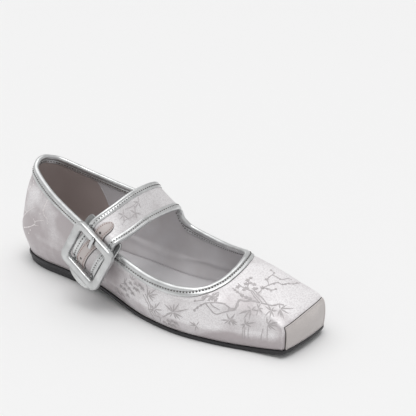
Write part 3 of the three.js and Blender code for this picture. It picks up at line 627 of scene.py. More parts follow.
class Nodes:
    """A short way to build one material's node tree."""

    def __init__(self, name, colour, roughness, metallic=0.0, **more):
        self.material = bpy.data.materials.new(name)
        self.material.use_nodes = True
        self.tree = self.material.node_tree
        self.tree.nodes.clear()
        inputs = {"Base Color": (*colour, 1.0), "Roughness": roughness, "Metallic": metallic}
        inputs.update({label.replace("_", " "): value for label, value in more.items()})
        self.shader = self.node("ShaderNodeBsdfPrincipled", inputs)
        self.node("ShaderNodeOutputMaterial", {"Surface": self.shader.outputs["BSDF"]})
        self.place = self.node("ShaderNodeTexCoord", {}).outputs["Object"]

    def node(self, kind, inputs, **settings):
        """A new node with its settings and its inputs, each a value or another node's output."""
        node = self.tree.nodes.new(kind)
        for label, value in settings.items():
            setattr(node, label, value)
        for label, value in inputs.items():
            self.feed(node.inputs[label], value)
        return node

    def feed(self, socket, value):
        if isinstance(value, bpy.types.NodeSocket):
            self.tree.links.new(value, socket)
        else:
            socket.default_value = value

    def colour_from(self, source):
        self.feed(self.shader.inputs["Base Color"], source)

    def roughness_from(self, source):
        self.feed(self.shader.inputs["Roughness"], source)

    def axis(self, label):
        """The X, Y or Z of the place in the shoe's frame."""
        return self.node("ShaderNodeSeparateXYZ", {"Vector": self.place}).outputs[label]

    def facing(self, direction):
        """How far the surface faces a direction of the shoe's frame."""
        normal = self.node("ShaderNodeNewGeometry", {}).outputs["Normal"]
        product = self.node("ShaderNodeVectorMath", {0: normal, 1: direction}, operation="DOT_PRODUCT")
        return product.outputs["Value"]

    def added(self, a, b, share):
        """a plus a share of b."""
        return self.node("ShaderNodeMath", {0: b, 1: share, 2: a}, operation="MULTIPLY_ADD").outputs[0]

    def stretched(self, scale, turn):
        inputs = {"Scale": scale, "Rotation": turn, "Vector": self.place}
        return self.node("ShaderNodeMapping", inputs).outputs["Vector"]

    def noise(self, scale, detail=2.0, vector=None):
        inputs = {"Scale": scale, "Detail": detail, "Vector": vector or self.place}
        return self.node("ShaderNodeTexNoise", inputs).outputs["Fac"]

    def cells(self, scale):
        inputs = {"Scale": scale, "Vector": self.place}
        return self.node("ShaderNodeTexVoronoi", inputs, feature="SMOOTH_F1").outputs["Distance"]

    def spread(self, fac, low, high, from_low=0.0, from_high=1.0):
        inputs = {"Value": fac, "From Min": from_low, "From Max": from_high, "To Min": low, "To Max": high}
        return self.node("ShaderNodeMapRange", inputs).outputs["Result"]

    def mixed(self, fac, a, b):
        inputs = {"Factor": fac}
        for label, value in (("A", a), ("B", b)):
            inputs[label] = (*value, 1.0) if isinstance(value, tuple) else value
        return self.node("ShaderNodeMix", inputs, data_type="RGBA").outputs["Result"]

    def bump(self, height, strength, distance_mm):
        inputs = {"Height": height, "Strength": strength, "Distance": distance_mm * MM}
        self.feed(self.shader.inputs["Normal"], self.node("ShaderNodeBump", inputs).outputs["Normal"])


def darker(colour, share):
    return tuple(channel * share for channel in colour[:3])


# The satin's painted light: the light tone is painted where the cloth faces this way, up, forward and
# outward, and the mauve as painted shade where it turns away
PAINTED_LIGHT_FROM = (0.5, -0.48, 1.0)
# Along the shoe it grows lighter at the waist as painted light and mauver at the toe as painted shade: the
# frame's x where each change starts and ends, and how much it adds
LIGHT_AND_SHADE_ALONG = ((-0.02, 0.02, 0.3), (0.045, 0.09, -0.5))


def satin(name, colour, mauve):
    """Satin of two tones: the light tone as painted light where it faces the light, mauve as painted shade
    where it turns away, pale and grey clouds as painted sheen, and a mottled weave.
    """
    nodes = Nodes(name, colour, 0.36, 0.12, Sheen_Weight=0.2, Sheen_Roughness=0.35)
    # Painted sheen: soft pale and grey clouds that stand in for the satin's highlights; they also vary its
    # roughness
    sheen_cloud = nodes.noise(42.0, 4.0)
    # Painted light and shade: the tone follows which way the surface faces in the shoe's frame
    painted_light = nodes.spread(nodes.facing(PAINTED_LIGHT_FROM), 0.0, 1.1, 0.3, 0.95)
    along = nodes.axis("X")
    for start, end, change in LIGHT_AND_SHADE_ALONG:
        painted_light = nodes.added(painted_light, nodes.spread(along, 0.0, 1.0, start, end), change)
    tone = nodes.mixed(nodes.added(painted_light, nodes.spread(sheen_cloud, -0.6, 0.5, 0.34, 0.64), 0.9), mauve, colour)
    weave = nodes.noise(1300.0, 3.0, nodes.stretched((1.0, 0.6, 1.3), (0.2, 0.4, 0.3)))
    mottle = nodes.spread(weave, 0.34, 0.0, 0.36, 0.58)
    nodes.colour_from(nodes.mixed(mottle, tone, darker(mauve, 0.85)))
    nodes.roughness_from(nodes.spread(sheen_cloud, 0.3, 0.44))
    nodes.bump(nodes.added(weave, nodes.noise(170.0, 2.0), 1.5), 0.35, 0.1)
    return nodes.material


def woven_figure(name, colour, heel_colour, sheen_turn_x):
    """The figures' thread: greyer than the ground on the forepart, and paler on the heel as painted sheen."""
    nodes = Nodes(name, colour, 0.55, 0.0, Sheen_Weight=0.2)
    turn = 0.02
    along = nodes.spread(nodes.axis("X"), 0.0, 1.0, sheen_turn_x - turn, sheen_turn_x + turn)
    # Painted sheen: the figures are pale behind this x and grey in front of it
    tone = nodes.mixed(along, heel_colour, colour)
    worn = nodes.noise(520.0, 2.0)
    nodes.colour_from(nodes.mixed(nodes.spread(worn, 0.0, 0.5, 0.4, 0.65), tone, darker(colour, 1.35)))
    nodes.bump(nodes.noise(1300.0, 2.0), 0.3, 0.06)
    return nodes.material


def silver_leather(name, colour, roughness=0.27):
    """Metallic leather with a fine grain, small puckers and worn, duller spots."""
    nodes = Nodes(name, colour, roughness, 0.8)
    grain = nodes.cells(1300.0)
    worn = nodes.noise(110.0, 4.0)
    pucker = nodes.noise(260.0, 3.0)
    nodes.colour_from(nodes.mixed(nodes.spread(worn, 0.0, 1.0, 0.35, 0.7), colour, darker(colour, 0.74)))
    nodes.roughness_from(nodes.spread(worn, roughness - 0.05, roughness + 0.1))
    nodes.bump(nodes.added(pucker, grain, 0.25), 0.4, 0.22)
    return nodes.material


def plain(name, colour, roughness, grain_scale, grain_mm, metallic=0.0, **more):
    """A finish of one colour with a fine grain, small changes of tone and of gloss."""
    nodes = Nodes(name, colour, roughness, metallic, **more)
    worn = nodes.noise(70.0, 4.0)
    grain = nodes.noise(grain_scale, 3.0)
    nodes.colour_from(nodes.mixed(nodes.spread(worn, 0.0, 1.0, 0.3, 0.75), colour, darker(colour, 0.85)))
    nodes.roughness_from(nodes.spread(grain, roughness - 0.05, roughness + 0.08))
    nodes.bump(grain, 0.4, grain_mm)
    return nodes.material


# The lining's seam leans back: x plus this share of z is the same all along it
SEAM_LEAN = 0.45
SEAM_FOOT = (66.6, 0.0, 0.0)


def lining_finish(name, heel_colour, colour):
    """Taupe over the heel and light grey in front, with a slanted seam between the two."""
    nodes = Nodes(name, colour, 0.75)
    slant = nodes.added(nodes.axis("X"), nodes.axis("Z"), SEAM_LEAN)
    seam = placed(SEAM_FOOT).x
    edge = 0.0003
    tone = nodes.mixed(nodes.spread(slant, 0.0, 1.0, seam - edge, seam + edge), heel_colour, colour)
    worn = nodes.noise(60.0, 3.0)
    nodes.colour_from(nodes.mixed(nodes.spread(worn, 0.0, 0.3, 0.3, 0.8), tone, darker(heel_colour, 0.8)))
    nodes.bump(nodes.noise(1100.0, 2.0), 0.3, 0.08)
    return nodes.material


def colour_setting(label, about, value):
    return FloatVectorProperty(
        name=label, description=about, subtype="COLOR", size=3, min=0.0, max=1.0, default=value)


def size_setting(label, about, value, low, high):
    return FloatProperty(
        name=label, description=about, default=value * MM, min=low * MM, max=high * MM, unit="LENGTH",
        precision=5)


class ShoeSizes(bpy.types.PropertyGroup):
    """Sizes of the trims that a user would change."""
    bead: size_setting("Binding bead", "How far the binding's rolled edge stands out", 1.15, 0.5, 3)
    binding: size_setting("Binding width", "Width of the folded binding", 5.2, 3, 9)
    stitch: size_setting("Stitch pitch", "Distance from one stitch to the next", 2.1, 1, 5)
    thread: size_setting("Figure thread", "How far the woven figures stand out of the satin", 0.17, 0.02, 0.5)


class ShoeColours(bpy.types.PropertyGroup):
    """Colours of the shoe's finishes."""
    # The satin material paints the light tone where the cloth faces the light and the mauve as painted shade
    # where it turns away
    satin: colour_setting("Satin", "Light tone of the satin", (0.87, 0.85, 0.86))
    mauve: colour_setting("Mauve", "Second tone of the satin", (0.49, 0.445, 0.455))
    figures: colour_setting("Figures", "Woven figures on the forepart", (0.44, 0.415, 0.42))
    # The pale tone of the heel's figures is painted sheen on the same thread
    pale_figures: colour_setting("Pale figures", "Woven figures on the heel", (0.88, 0.84, 0.835))
    toe: colour_setting("Toe panel", "Satin of the toe panel", (0.64, 0.595, 0.58))
    silver: colour_setting("Silver leather", "Leather of binding and buckle", (0.74, 0.75, 0.75))
    taupe: colour_setting("Heel lining", "Lining over the heel", (0.45, 0.38, 0.36))
    lining: colour_setting("Lining", "Lining of the forepart and the insole", (0.66, 0.645, 0.66))
    rubber: colour_setting("Sole", "Sole and heel", (0.022, 0.021, 0.024))
    patch: colour_setting("Patch", "Patch along the strap", (0.60, 0.545, 0.53))
    # The near-black edge finish also serves as painted shade in the bindings' dark strips, the holes and the
    # prong's notch, and as the toe seam's painted shadow
    edge: colour_setting("Edge", "Painted leather edges, seam grooves and holes", (0.06, 0.052, 0.05))
    pink: colour_setting("Pink thread", "Stitches of the patch", (0.34, 0.20, 0.18))
    metal: colour_setting("Prong", "Polished prong", (0.72, 0.73, 0.74))
    floor: colour_setting("Floor", "The studio's floor", (0.86, 0.86, 0.86))


def sizes():
    return bpy.context.scene.shoe_sizes


# Where along the shoe the heel's pale figures, whose paleness is painted sheen, give way to the darker ones,
# in millimetres
PALE_SHEEN_UNTIL_X = 70.0


def shoe_material(kind):
    """The shoe's finishes, each made once."""
    name = "shoe_" + kind
    if name in bpy.data.materials:
        return bpy.data.materials[name]
    colours = bpy.context.scene.shoe_colours

    def tone(key):
        return tuple(getattr(colours, key))

    makers = {
        "satin": lambda: satin(name, tone("satin"), tone("mauve")),
        # The strap's satin is the satin darkened as painted shade, for its curve away from the light over the
        # instep
        "strap_satin": lambda: satin(name, darker(tone("satin"), 0.84), darker(tone("mauve"), 0.86)),
        # The toe panel's second tone is its colour darkened, used as painted shade where it turns away
        "toe": lambda: satin(name, tone("toe"), darker(tone("toe"), 0.84)),
        "patch": lambda: plain(name, tone("patch"), 0.45, 1300.0, 0.06),
        "figures": lambda: woven_figure(
            name, tone("figures"), tone("pale_figures"), placed((PALE_SHEEN_UNTIL_X, 0, 0)).x),
        "silver": lambda: silver_leather(name, tone("silver")),
        "buckle": lambda: silver_leather(name, darker(tone("silver"), 0.96), 0.3),
        # The silver darkened as painted shade, for the tab and the centre bar that lie in shade
        "dark_silver": lambda: silver_leather(name, darker(tone("silver"), 0.5), 0.4),
        "lining": lambda: lining_finish(name, tone("taupe"), tone("lining")),
        "insole": lambda: plain(name, darker(tone("lining"), 0.95), 0.6, 700.0, 0.1),
        "rubber": lambda: plain(name, tone("rubber"), 0.45, 500.0, 0.12),
        "thread": lambda: plain(name, darker(tone("edge"), 1.6), 0.8, 900.0, 0.1),
        "edge": lambda: plain(name, tone("edge"), 0.5, 900.0, 0.05),
        "pink_thread": lambda: plain(name, tone("pink"), 0.8, 900.0, 0.1),
        "metal": lambda: plain(name, tone("metal"), 0.16, 300.0, 0.02, 1.0),
    }
    return makers[kind]()


# The sole and the insole

def plate_sections(first, last, count, profile, below, above):
    """Sections across the sole from lateral to medial, each side rounded by (inset, rise) pairs."""
    sections = []
    for place in places_between(first, last, count):
        section = []
        for side, pairs in ((-1, profile), (1, profile[::-1])):
            at = place if side < 0 else OUTLINE_LAP - place
            edge, outward = outline_point(at), outline_normal(at)
            for inset, rise in pairs:
                point = edge - outward * inset
                low, high = below(point[0]), above(point[0])
                point[2] = low + (high - low) * rise
                section.append(point)
        sections.append(section)
    return sections


def place_at_length(x):
    low, high = 0.0, float(TOE_PLACE)
    for _ in range(30):
        middle = (low + high) / 2
        if outline_point(middle)[0] < x:
            low = middle
        else:
            high = middle
    return low


def make_sole():
    edge = ((0.9, 0.0), (0.4, 0.04), (0.12, 0.2), (0.0, 0.45), (0.0, 0.85), (0.25, 1.0))
    near = 0.02
    sections = plate_sections(near, TOE_PLACE - near, 150, edge, underside_height, seat_height)
    outsole = lofted("sole_edge", sections, [shoe_material("rubber")])
    fitted(outsole, "outsole", "outsole")
    breast = place_at_length(HEEL_LENGTH)
    block = ((1.9, 0.0), (1.5, 0.08), (1.3, 0.3), (0.9, 0.94), (1.05, 1.0))
    top = HEEL_HEIGHT - CLEARANCE
    sections = plate_sections(near, breast, 60, block, lambda x: 0.0, lambda x: top)
    heel = lofted("heel_block", sections, [shoe_material("rubber")])
    fitted(heel, "heel", "heel")
    for piece in (outsole, heel):
        piece.data.set_sharp_from_angle(angle=SHARP_EDGE)


def make_insole():
    inset = FEATHER_INSET + WALL + 0.05
    rim = ((inset + 0.5, 0.0), (inset, 0.4), (inset, 0.9), (inset + 0.15, 1.0), (inset + 3.0, 0.9))

    def low(x):
        return seat_height(x) + CLEARANCE

    def high(x):
        return low(x) + INSOLE_THICKNESS

    sections = plate_sections(0.05, TOE_PLACE - 0.05, 130, rim, low, high)
    fitted(lofted("sock", sections, [shoe_material("insole")]), "insole", "insole")


# The upper, its toe panel and its binding

# The fold of the side lining above the insole, on the medial wall from the waist to the ball
LINING_FOLD = (
    (56.0, 29.0, 19.5), (69.0, 30.0, 17.8), (85.0, 30.0, 15.0), (102.0, 30.0, 12.6),
    (114.0, 30.5, 13.6), (126.0, 31.0, 15.2), (149.0, 32.0, 14.6), (170.0, 33.0, 13.4),
)
FOLD_HEIGHT = 0.8
FOLD_WIDTH = 2.0


def lining_fold(point):
    """How far the lining's soft fold stands in from the wall at a point."""
    gap = np.min(np.linalg.norm(fold_route - point, axis=1))
    return FOLD_HEIGHT * math.exp(-(gap / FOLD_WIDTH) ** 2)


def make_upper():
    """The hollow upper: satin outside with its creases, lining inside with its fold and seam."""
    sections = []
    for i in range(len(wall_points)):
        inner = []
        for j in range(STEPS_UP + 1):
            depth = WALL + lining_fold(wall_points[i, j])
            inner.append(wall_points[i, j] - wall_normals[i, j] * depth)
        sections.append(list(satin_points[i]) + inner[::-1])
    shell = lofted(
        "satin_upper", sections, [shoe_material("satin"), shoe_material("lining")], True,
        range(STEPS_UP, 2 * STEPS_UP + 2))
    fitted(shell, "upper", "upper")
    seam = []
    for z in range(14, 56, 3):
        seam.append(inside_wall((SEAM_FOOT[0] - SEAM_LEAN * z, 30.0, z)))
    fitted(cord_along("lining_seam", seam, 0.3, shoe_material("lining")), "upper")


def inside_wall(point):
    """The point of the lining's face behind the wall's nearest point."""
    _, _, place, share = nearest_on_wall(point)
    return on_wall(place, share, -WALL - 0.1)


def smooth_route(points, step):
    """A smooth route through some points, with a point about every step."""
    points = [np.array(point, float) for point in points]
    route = []
    for index in range(len(points) - 1):
        near = four_near(points, index)
        count = max(1, round(np.linalg.norm(near[2] - near[1]) / step))
        route += [catmull(*near, k / count) for k in range(count)]
    return route + [points[-1]]


fold_route = np.array([nearest_on_wall(point)[0] for point in smooth_route(LINING_FOLD, 2.0)])


def make_toe_panel():
    """The panel over the flat front of the toe, with its folded seam along the top and the sides."""
    span = TOE_CORNER_MEDIAL - TOE_CORNER_LATERAL
    across, upward = 60, 26
    top_share = 0.5
    width, height = 41.0, 19.0
    fold, ridge = 0.7, 1.3

    def raised(gap):
        """Height of the panel at a distance from its edge: a rolled ridge, then flat."""
        if gap < fold:
            return ridge * math.sqrt(max(1 - (1 - gap / fold) ** 2, 0.0))
        return 0.75 + (ridge - 0.75) * max(0.0, 1 - (gap - fold) / 0.9)

    sections = []
    for i in range(across + 1):
        share_across = ease(i / across) * 0.5 + i / across * 0.5
        place = TOE_CORNER_LATERAL + span * share_across
        outer, inner = [], []
        for j in range(upward + 1):
            rise = 1 - (1 - j / upward) ** 1.8
            gap = min((1 - rise) * height, min(share_across, 1 - share_across) * width)
            share = top_share * rise
            outer.append(on_wall(place, share, 0.12 + raised(gap)))
            inner.append(on_wall(place, share, 0.06))
        sections.append(outer + inner[::-1])
    panel = lofted("toe_panel_satin", sections, [shoe_material("toe")])
    fitted(panel, "toe_panel", "toe_panel")
    steps = 12
    route = [on_wall(TOE_CORNER_LATERAL - 0.02, top_share * k / steps, 0.2) for k in range(steps)]
    for place in places_between(TOE_CORNER_LATERAL, TOE_CORNER_MEDIAL, 40):
        route.append(on_wall(place, top_share + 0.012, 0.2))
    route += [on_wall(TOE_CORNER_MEDIAL + 0.02, top_share * (1 - k / steps), 0.2) for k in range(1, steps)]
    fitted(cord_along("toe_seam_shadow", route, 0.22, shoe_material("edge")), "toe_panel")


CORD_SIDES = 8


def cord_along(name, points, radius, material):
    """A thin round cord through some points, closed at both ends."""
    points = np.array(points)
    sections = []
    normal = np.array((0.0, 0.0, 1.0))
    for k, point in enumerate(points):
        along = unit(points[min(k + 1, len(points) - 1)] - points[max(k - 1, 0)])
        side = np.cross(along, normal)
        if np.linalg.norm(side) < 0.05:
            side = np.cross(along, (1.0, 0.0, 0.0))
        side = unit(side)
        normal = unit(np.cross(side, along))
        sections.append([
            point + (side * math.cos(a) + normal * math.sin(a)) * radius for a in circle(CORD_SIDES)])
    return lofted(name, sections, [material])


def edge_station(place, reach=0.05):
    """The top edge at a place: gives the point at a depth into the wall and an offset out of it."""
    top, normal = on_wall(place, 1.0), wall_normal(place, 1.0)
    run = on_wall(place + reach, 1.0) - on_wall(place - reach, 1.0)
    into = unit(np.cross(run, normal))
    if np.dot(into, on_wall(place, 0.975) - top) < 0:
        into = -into

    def at(depth, offset):
        point = top + into * depth
        if depth <= 0:
            return point + normal * offset
        seat, seat_normal, _, _ = nearest_on_wall(point)
        return seat + seat_normal * offset

    return at


# How far the binding's facing stands out, and the strips of its profile drawn near-black as painted shade:
# its outer edge, its inner groove and its inner edge
FACING = 0.8
BINDING_SHADE_STRIPS = (0, 18, 19, 22)


def binding_profile(width, bead, inside):
    """The folded binding's (depth, offset) corners: facing, groove and rolled bead outside, over
    the edge, facing inside."""
    return (
        (width + 0.1, 0.02), (width, FACING - 0.3), (width - 0.3, FACING), (width * 0.72, FACING + 0.06),
        (width * 0.49, FACING), (width * 0.46, FACING - 0.1), (width * 0.43, FACING - 0.4),
        (width * 0.40, FACING - 0.1), (width * 0.35, bead * 0.92), (width * 0.22, bead + 0.14),
        (width * 0.07, bead + 0.1), (-0.5, bead * 0.75), (-1.0, bead * 0.2), (-1.25, -0.35),
        (-1.25, inside * 0.75), (-0.95, inside - 0.1), (-0.4, inside - 0.6), (0.4, inside - 0.85),
        (width * 0.25, inside - 0.85), (width * 0.29, inside - 0.45), (width * 0.33, inside - 0.75),
        (width * 0.85, inside - 0.7), (width, inside - 0.5), (width, inside - 0.15),
        (0.4, inside - 0.2), (-0.4, inside * 0.7), (-0.4, 0.1), (0.4, 0.1),
    )


def make_binding():
    """The silver binding round collar and throat, from one side of the strap's root to the other."""
    width, bead = sizes().binding / MM, sizes().bead / MM
    first, last = ROOT_REAR, ROOT_FRONT + RING
    profile = binding_profile(width, bead, -WALL)
    sections, outside, inside = [], [], []
    for place in places_between(first, last, (last - first) * 10):
        at = edge_station(place)
        sections.append([at(depth, offset) for depth, offset in profile])
        outside.append(at(width * 0.5, FACING + 0.16))
        inside.append(at(width * 0.62, -WALL - 0.8))
    finishes = [shoe_material("silver"), shoe_material("edge")]
    # The near-black strips are painted shade along the binding's edges and in its inner groove
    binding = lofted("silver_binding", sections, finishes, second=BINDING_SHADE_STRIPS)
    fitted(binding, "binding", "collar_binding")
    for name, route in (("binding_stitches", outside), ("binding_stitches_inside", inside)):
        fitted(seam_stitches(name, route), "binding")


# A seam stitch: its length as a share of the pitch, and its thickness in millimetres
STITCH_SHARE = 0.64
STITCH_RADIUS = 0.34


def seam_stitches(name, route):
    pitch = sizes().stitch / MM
    return thread_row(name, route, pitch, pitch * STITCH_SHARE, STITCH_RADIUS, shoe_material("thread"))


# The strap and the buckle

buckle_turn = (
    Matrix.Rotation(math.radians(90 - BUCKLE_LEAN), 3, "X")
    @ Matrix.Rotation(math.radians(-BUCKLE_ROLL), 3, "Z")
)
BUCKLE_ACROSS = np.array(buckle_turn.col[0])
BUCKLE_DOWN = -np.array(buckle_turn.col[1])
BUCKLE_OUT = np.array(buckle_turn.col[2])
BUCKLE_CENTRE = np.array(BUCKLE_SEAT) * (SOLE_LENGTH, BALL_WIDTH, COUNTER_HEIGHT)


def on_buckle(across, down, out):
    return BUCKLE_CENTRE + BUCKLE_ACROSS * across + BUCKLE_DOWN * down + BUCKLE_OUT * out


BAR_MIDDLE = (BUCKLE_HEIGHT - BUCKLE_BAR_WIDTH) / 2
STRAP_TOP = STRAP_THICKNESS / 2 + CLEARANCE + PATCH_THICKNESS
STRAP_BOTTOM = STRAP_THICKNESS / 2 + CLEARANCE + STRAP_BINDING_THICKNESS
UNDER_BAR = -(BUCKLE_THICKNESS / 2 + CLEARANCE + STRAP_TOP)
OVER_CENTRE = CENTRE_BAR_DIAMETER / 2 - CENTRE_BAR_SET + 2 * CLEARANCE + STRAP_BOTTOM
HALF_RISE = UNDER_BAR + (OVER_CENTRE - UNDER_BAR) * 0.8
BAR_CLEAR = BUCKLE_BAR_WIDTH * 0.6
RISE_REACH = BUCKLE_BAR_WIDTH * 1.2
TIP_START = BAR_MIDDLE + BUCKLE_BAR_WIDTH / 2
LANDING = (
    (-BAR_MIDDLE - BUCKLE_BAR_WIDTH, UNDER_BAR - 2 * STRAP_DIP), (-BAR_MIDDLE, UNDER_BAR - STRAP_DIP),
    (-BAR_MIDDLE + BAR_CLEAR, UNDER_BAR), (-RISE_REACH, HALF_RISE), (0.0, OVER_CENTRE),
    (RISE_REACH, HALF_RISE), (BAR_MIDDLE - BAR_CLEAR, UNDER_BAR),
    (BAR_MIDDLE, UNDER_BAR - STRAP_DIP), (TIP_START, UNDER_BAR - STRAP_DIP),
)


def strap_path():
    """Rows of the strap's middle and its direction across, from the medial root to the tip."""
    rear, front = on_wall(ROOT_REAR, 1.0), on_wall(ROOT_FRONT, 1.0)
    middle_place = (ROOT_REAR + ROOT_FRONT + 1 / 3) / 2
    root = (rear + front) / 2 - wall_normal(middle_place, 1.0) * WALL / 2
    rows = [(root, unit(front - rear))]
    for x, y, z, dip in STRAP_ROWS:
        middle = np.array((x, y, z)) * (SOLE_LENGTH, BALL_WIDTH, COUNTER_HEIGHT)
        angle = math.radians(dip)
        rows.append((middle, np.array((math.cos(angle), 0.0, -math.sin(angle)))))
    rows += [(on_buckle(0.0, down, out), BUCKLE_ACROSS) for down, out in LANDING]
    return rows


strap_rows = strap_path()
STRAP_END = len(strap_rows) - 1
PATCH_FIRST = len(STRAP_ROWS) + 0.4
PATCH_LAST = STRAP_END - 1.6


def strap_frame(place):
    index = min(max(math.floor(place), 0), STRAP_END - 1)
    rows = four_near(strap_rows, index)
    middle = catmull(*(row[0] for row in rows), place - index)
    return middle, unit(catmull(*(row[1] for row in rows), place - index))


def strap_station(place, reach=0.05):
    """Gives the point at a distance across the strap and out of its middle layer."""
    middle, across = strap_frame(place)
    ahead, _ = strap_frame(min(place + reach, STRAP_END))
    behind, _ = strap_frame(max(place - reach, 0))
    face = unit(np.cross(unit(ahead - behind), across))
    return lambda side, out: middle + across * side + face * out


def strap_places(first, last, per_row=8):
    return places_between(first, last, round((last - first) * per_row))


STRAP_CROWN = 0.12


def strap_face(across):
    """How high the padded satin lies over the strap's middle layer, at a distance across."""
    return STRAP_THICKNESS / 2 + STRAP_CROWN * (1 - across ** 2)


def make_strap():
    half = STRAP_WIDTH / 2 - 1.2
    count = 11
    across = np.linspace(-half, half, count)
    sections = []
    for place in strap_places(0, STRAP_END):
        at = strap_station(place)
        top = [at(s, strap_face(s / half)) for s in across]
        sections.append(top + [at(s, -STRAP_THICKNESS / 2) for s in across[::-1]])
    # The strap's satin is darkened as painted shade
    finishes = [shoe_material("strap_satin"), shoe_material("insole")]
    strap = lofted("satin_strap", sections, finishes, second=range(count - 1, 2 * count))
    fitted(strap, "strap", "strap")


def strap_binding_profile(width):
    """A strap edge's (across, out) corners, from its inner facing round the rolled edge to the
    underside. Its first strip is near-black, painted shade in the groove at its inner edge."""
    outer = STRAP_WIDTH / 2
    inner = outer - width
    return (
        (inner, 1.02), (inner, 1.3), (inner + 0.2, 1.45), (inner + width * 0.44, 1.52),
        (inner + width * 0.50, 1.42), (inner + width * 0.54, 1.15), (inner + width * 0.58, 1.42),
        (outer - 1.4, 1.78), (outer - 0.7, 1.72), (outer - 0.15, 1.3), (outer + 0.1, 0.5),
        (outer + 0.1, -0.4), (outer - 0.15, -1.15), (outer - 0.7, -1.5), (outer - 1.6, -1.65),
        (inner + 0.3, -1.6), (inner, -1.4), (inner, -1.2), (outer - 1.0, -1.1), (outer - 1.0, 1.02),
    )


def make_strap_bindings():
    width = sizes().binding / MM - 0.4
    profile = strap_binding_profile(width)
    finishes = [shoe_material("silver"), shoe_material("edge")]
    for side, name in ((-1, "rear"), (1, "front")):
        sections, route = [], []
        for place in strap_places(0, STRAP_END):
            at = strap_station(place)
            sections.append([at(side * across, out) for across, out in profile])
            route.append(at(side * (STRAP_WIDTH / 2 - width * 0.6), 1.56))
        # The first strip takes the near-black edge finish as painted shade
        edge = lofted("strap_" + name + "_edge", sections, finishes, second=(0,))
        fitted(edge, "binding", "strap_" + name + "_binding")
        fitted(seam_stitches("strap_" + name + "_stitches", route), "binding")


# Places on the strap's path of the patch's holes, drawn near-black as painted shade, and each one's radius:
# the last is the prong's, painted shade at its foot
HOLES = ((6.25, 0.9), (10.7, 0.9), (9.0, 1.6))
# The patch's round upper end takes this many rows of the path
PATCH_ROUND = 0.5


def patch_half(place, width):
    start = min(max((place - PATCH_FIRST) / PATCH_ROUND, 0.0), 1.0)
    return width / 2 * math.sqrt(max(start * (2 - start), 0.0))


def patch_shift(place):
    """How far the patch lies to the rear of the strap's middle."""
    return np.interp(place, (8.3, 10.0, 12.4), (-1.2, -2.8, -3.2))


# The patch's stitches: pitch, length and thickness in millimetres
PATCH_STITCH = (1.5, 0.75, 0.26)


def make_patch():
    """The patch down the strap's middle, with its dark front edge, holes and pink stitches."""
    low = STRAP_THICKNESS / 2 + 0.05
    high = low + PATCH_THICKNESS * 0.75
    places = [PATCH_FIRST + PATCH_ROUND * (k / 10) ** 2 for k in range(1, 10)]
    places += strap_places(PATCH_FIRST + PATCH_ROUND, PATCH_LAST, 10)
    sections, dark, rear_line, front_line = [], [], [], []
    inside_edge = 1.15
    for place in places:
        at = patch_station(place)
        half = patch_half(place, PATCH_WIDTH)
        round_off = min(0.25, half / 2)
        shade = 0.5 * min(1.0, half / (PATCH_WIDTH / 2))
        sections.append([
            at(-half, low), at(-half, high - 0.25), at(-half + round_off, high), at(0.0, high + 0.05),
            at(half - round_off, high), at(half, high - 0.25), at(half, low),
        ])
        dark.append([
            at(-half - 0.1, low - 0.02), at(-half - 0.1, high - 0.4), at(-half + 0.02, high - 0.35),
            at(half - 0.02, high - 0.35), at(half + shade, high - 0.4), at(half + shade, low - 0.02),
        ])
        if half > inside_edge + 0.4:
            rear_line.append(at(inside_edge - half, high + 0.14))
            front_line.append(at(half - inside_edge, high + 0.14))
    patch = joined("strap_patch_satin", [
        lofted("patch_face", sections, [shoe_material("patch")]),
        lofted("patch_edge", dark, [shoe_material("edge")]),
    ])
    fitted(patch, "patch", "strap_patch")
    route = rear_line[::-1] + front_line
    fitted(thread_row("patch_stitches", route, *PATCH_STITCH, shoe_material("pink_thread")), "patch")
    holes = [patch_hole(number, *hole, high) for number, hole in enumerate(HOLES)]
    fitted(joined("patch_holes", holes), "patch")


def patch_station(place):
    at = strap_station(place)
    shift = patch_shift(place)
    return lambda side, out: at(side + shift, out)


def patch_hole(number, place, size, high):
    """A punched hole, as a near-black ring with a sunken middle: the hole is real, its darkness is painted
    shade.
    """
    at = patch_station(place)
    along = unit(strap_frame(place + 0.1)[0] - strap_frame(place)[0])
    side = at(1.0, 0.0) - at(0.0, 0.0)
    rings = []
    for share, out in ((1.0, high + 0.02), (0.9, high + 0.14), (0.65, high + 0.12), (0.02, high + 0.02)):
        centre = at(0.0, out)
        rings.append([
            centre + (side * math.cos(a) + along * math.sin(a)) * share * size for a in circle(16)])
    return lofted("hole" + str(number), rings, [shoe_material("edge")])


# The tip's rounded rim in layers: which face, how far in from the outline and how far below the top
TIP_LAYERS = (
    (-1, 3.6, 0.0), (-1, 1.6, 0.0), (-1, 0.8, 0.15), (-1, 0.2, 0.5), (1, 0.0, 1.0), (1, 0.25, 0.45),
    (1, 0.8, 0.12), (1, 1.5, 0.0), (1, 2.3, 0.25), (1, 4.0, 0.3),
)


def make_tip():
    """The leather end of the strap below the buckle, with its raised rim."""
    depth = STRAP_THICKNESS / 2 + 0.55
    level = UNDER_BAR - STRAP_DIP
    sections = []
    for sign, inset, drop in TIP_LAYERS:
        ring = []
        for step in range(41):
            angle = math.pi * step / 40
            across = (STRAP_WIDTH / 2 - inset) * math.cos(angle)
            down = TIP_START + CLEARANCE + max(inset - 0.6, 0.0) * 0.3
            down += (TIP_LENGTH - inset - 0.2) * math.sin(angle) ** TIP_SQUARENESS
            ring.append(on_buckle(across, down, level + sign * (depth - drop)))
        sections.append(ring)
    fitted(lofted("silver_tip", sections, [shoe_material("silver")]), "binding", "strap_tip")


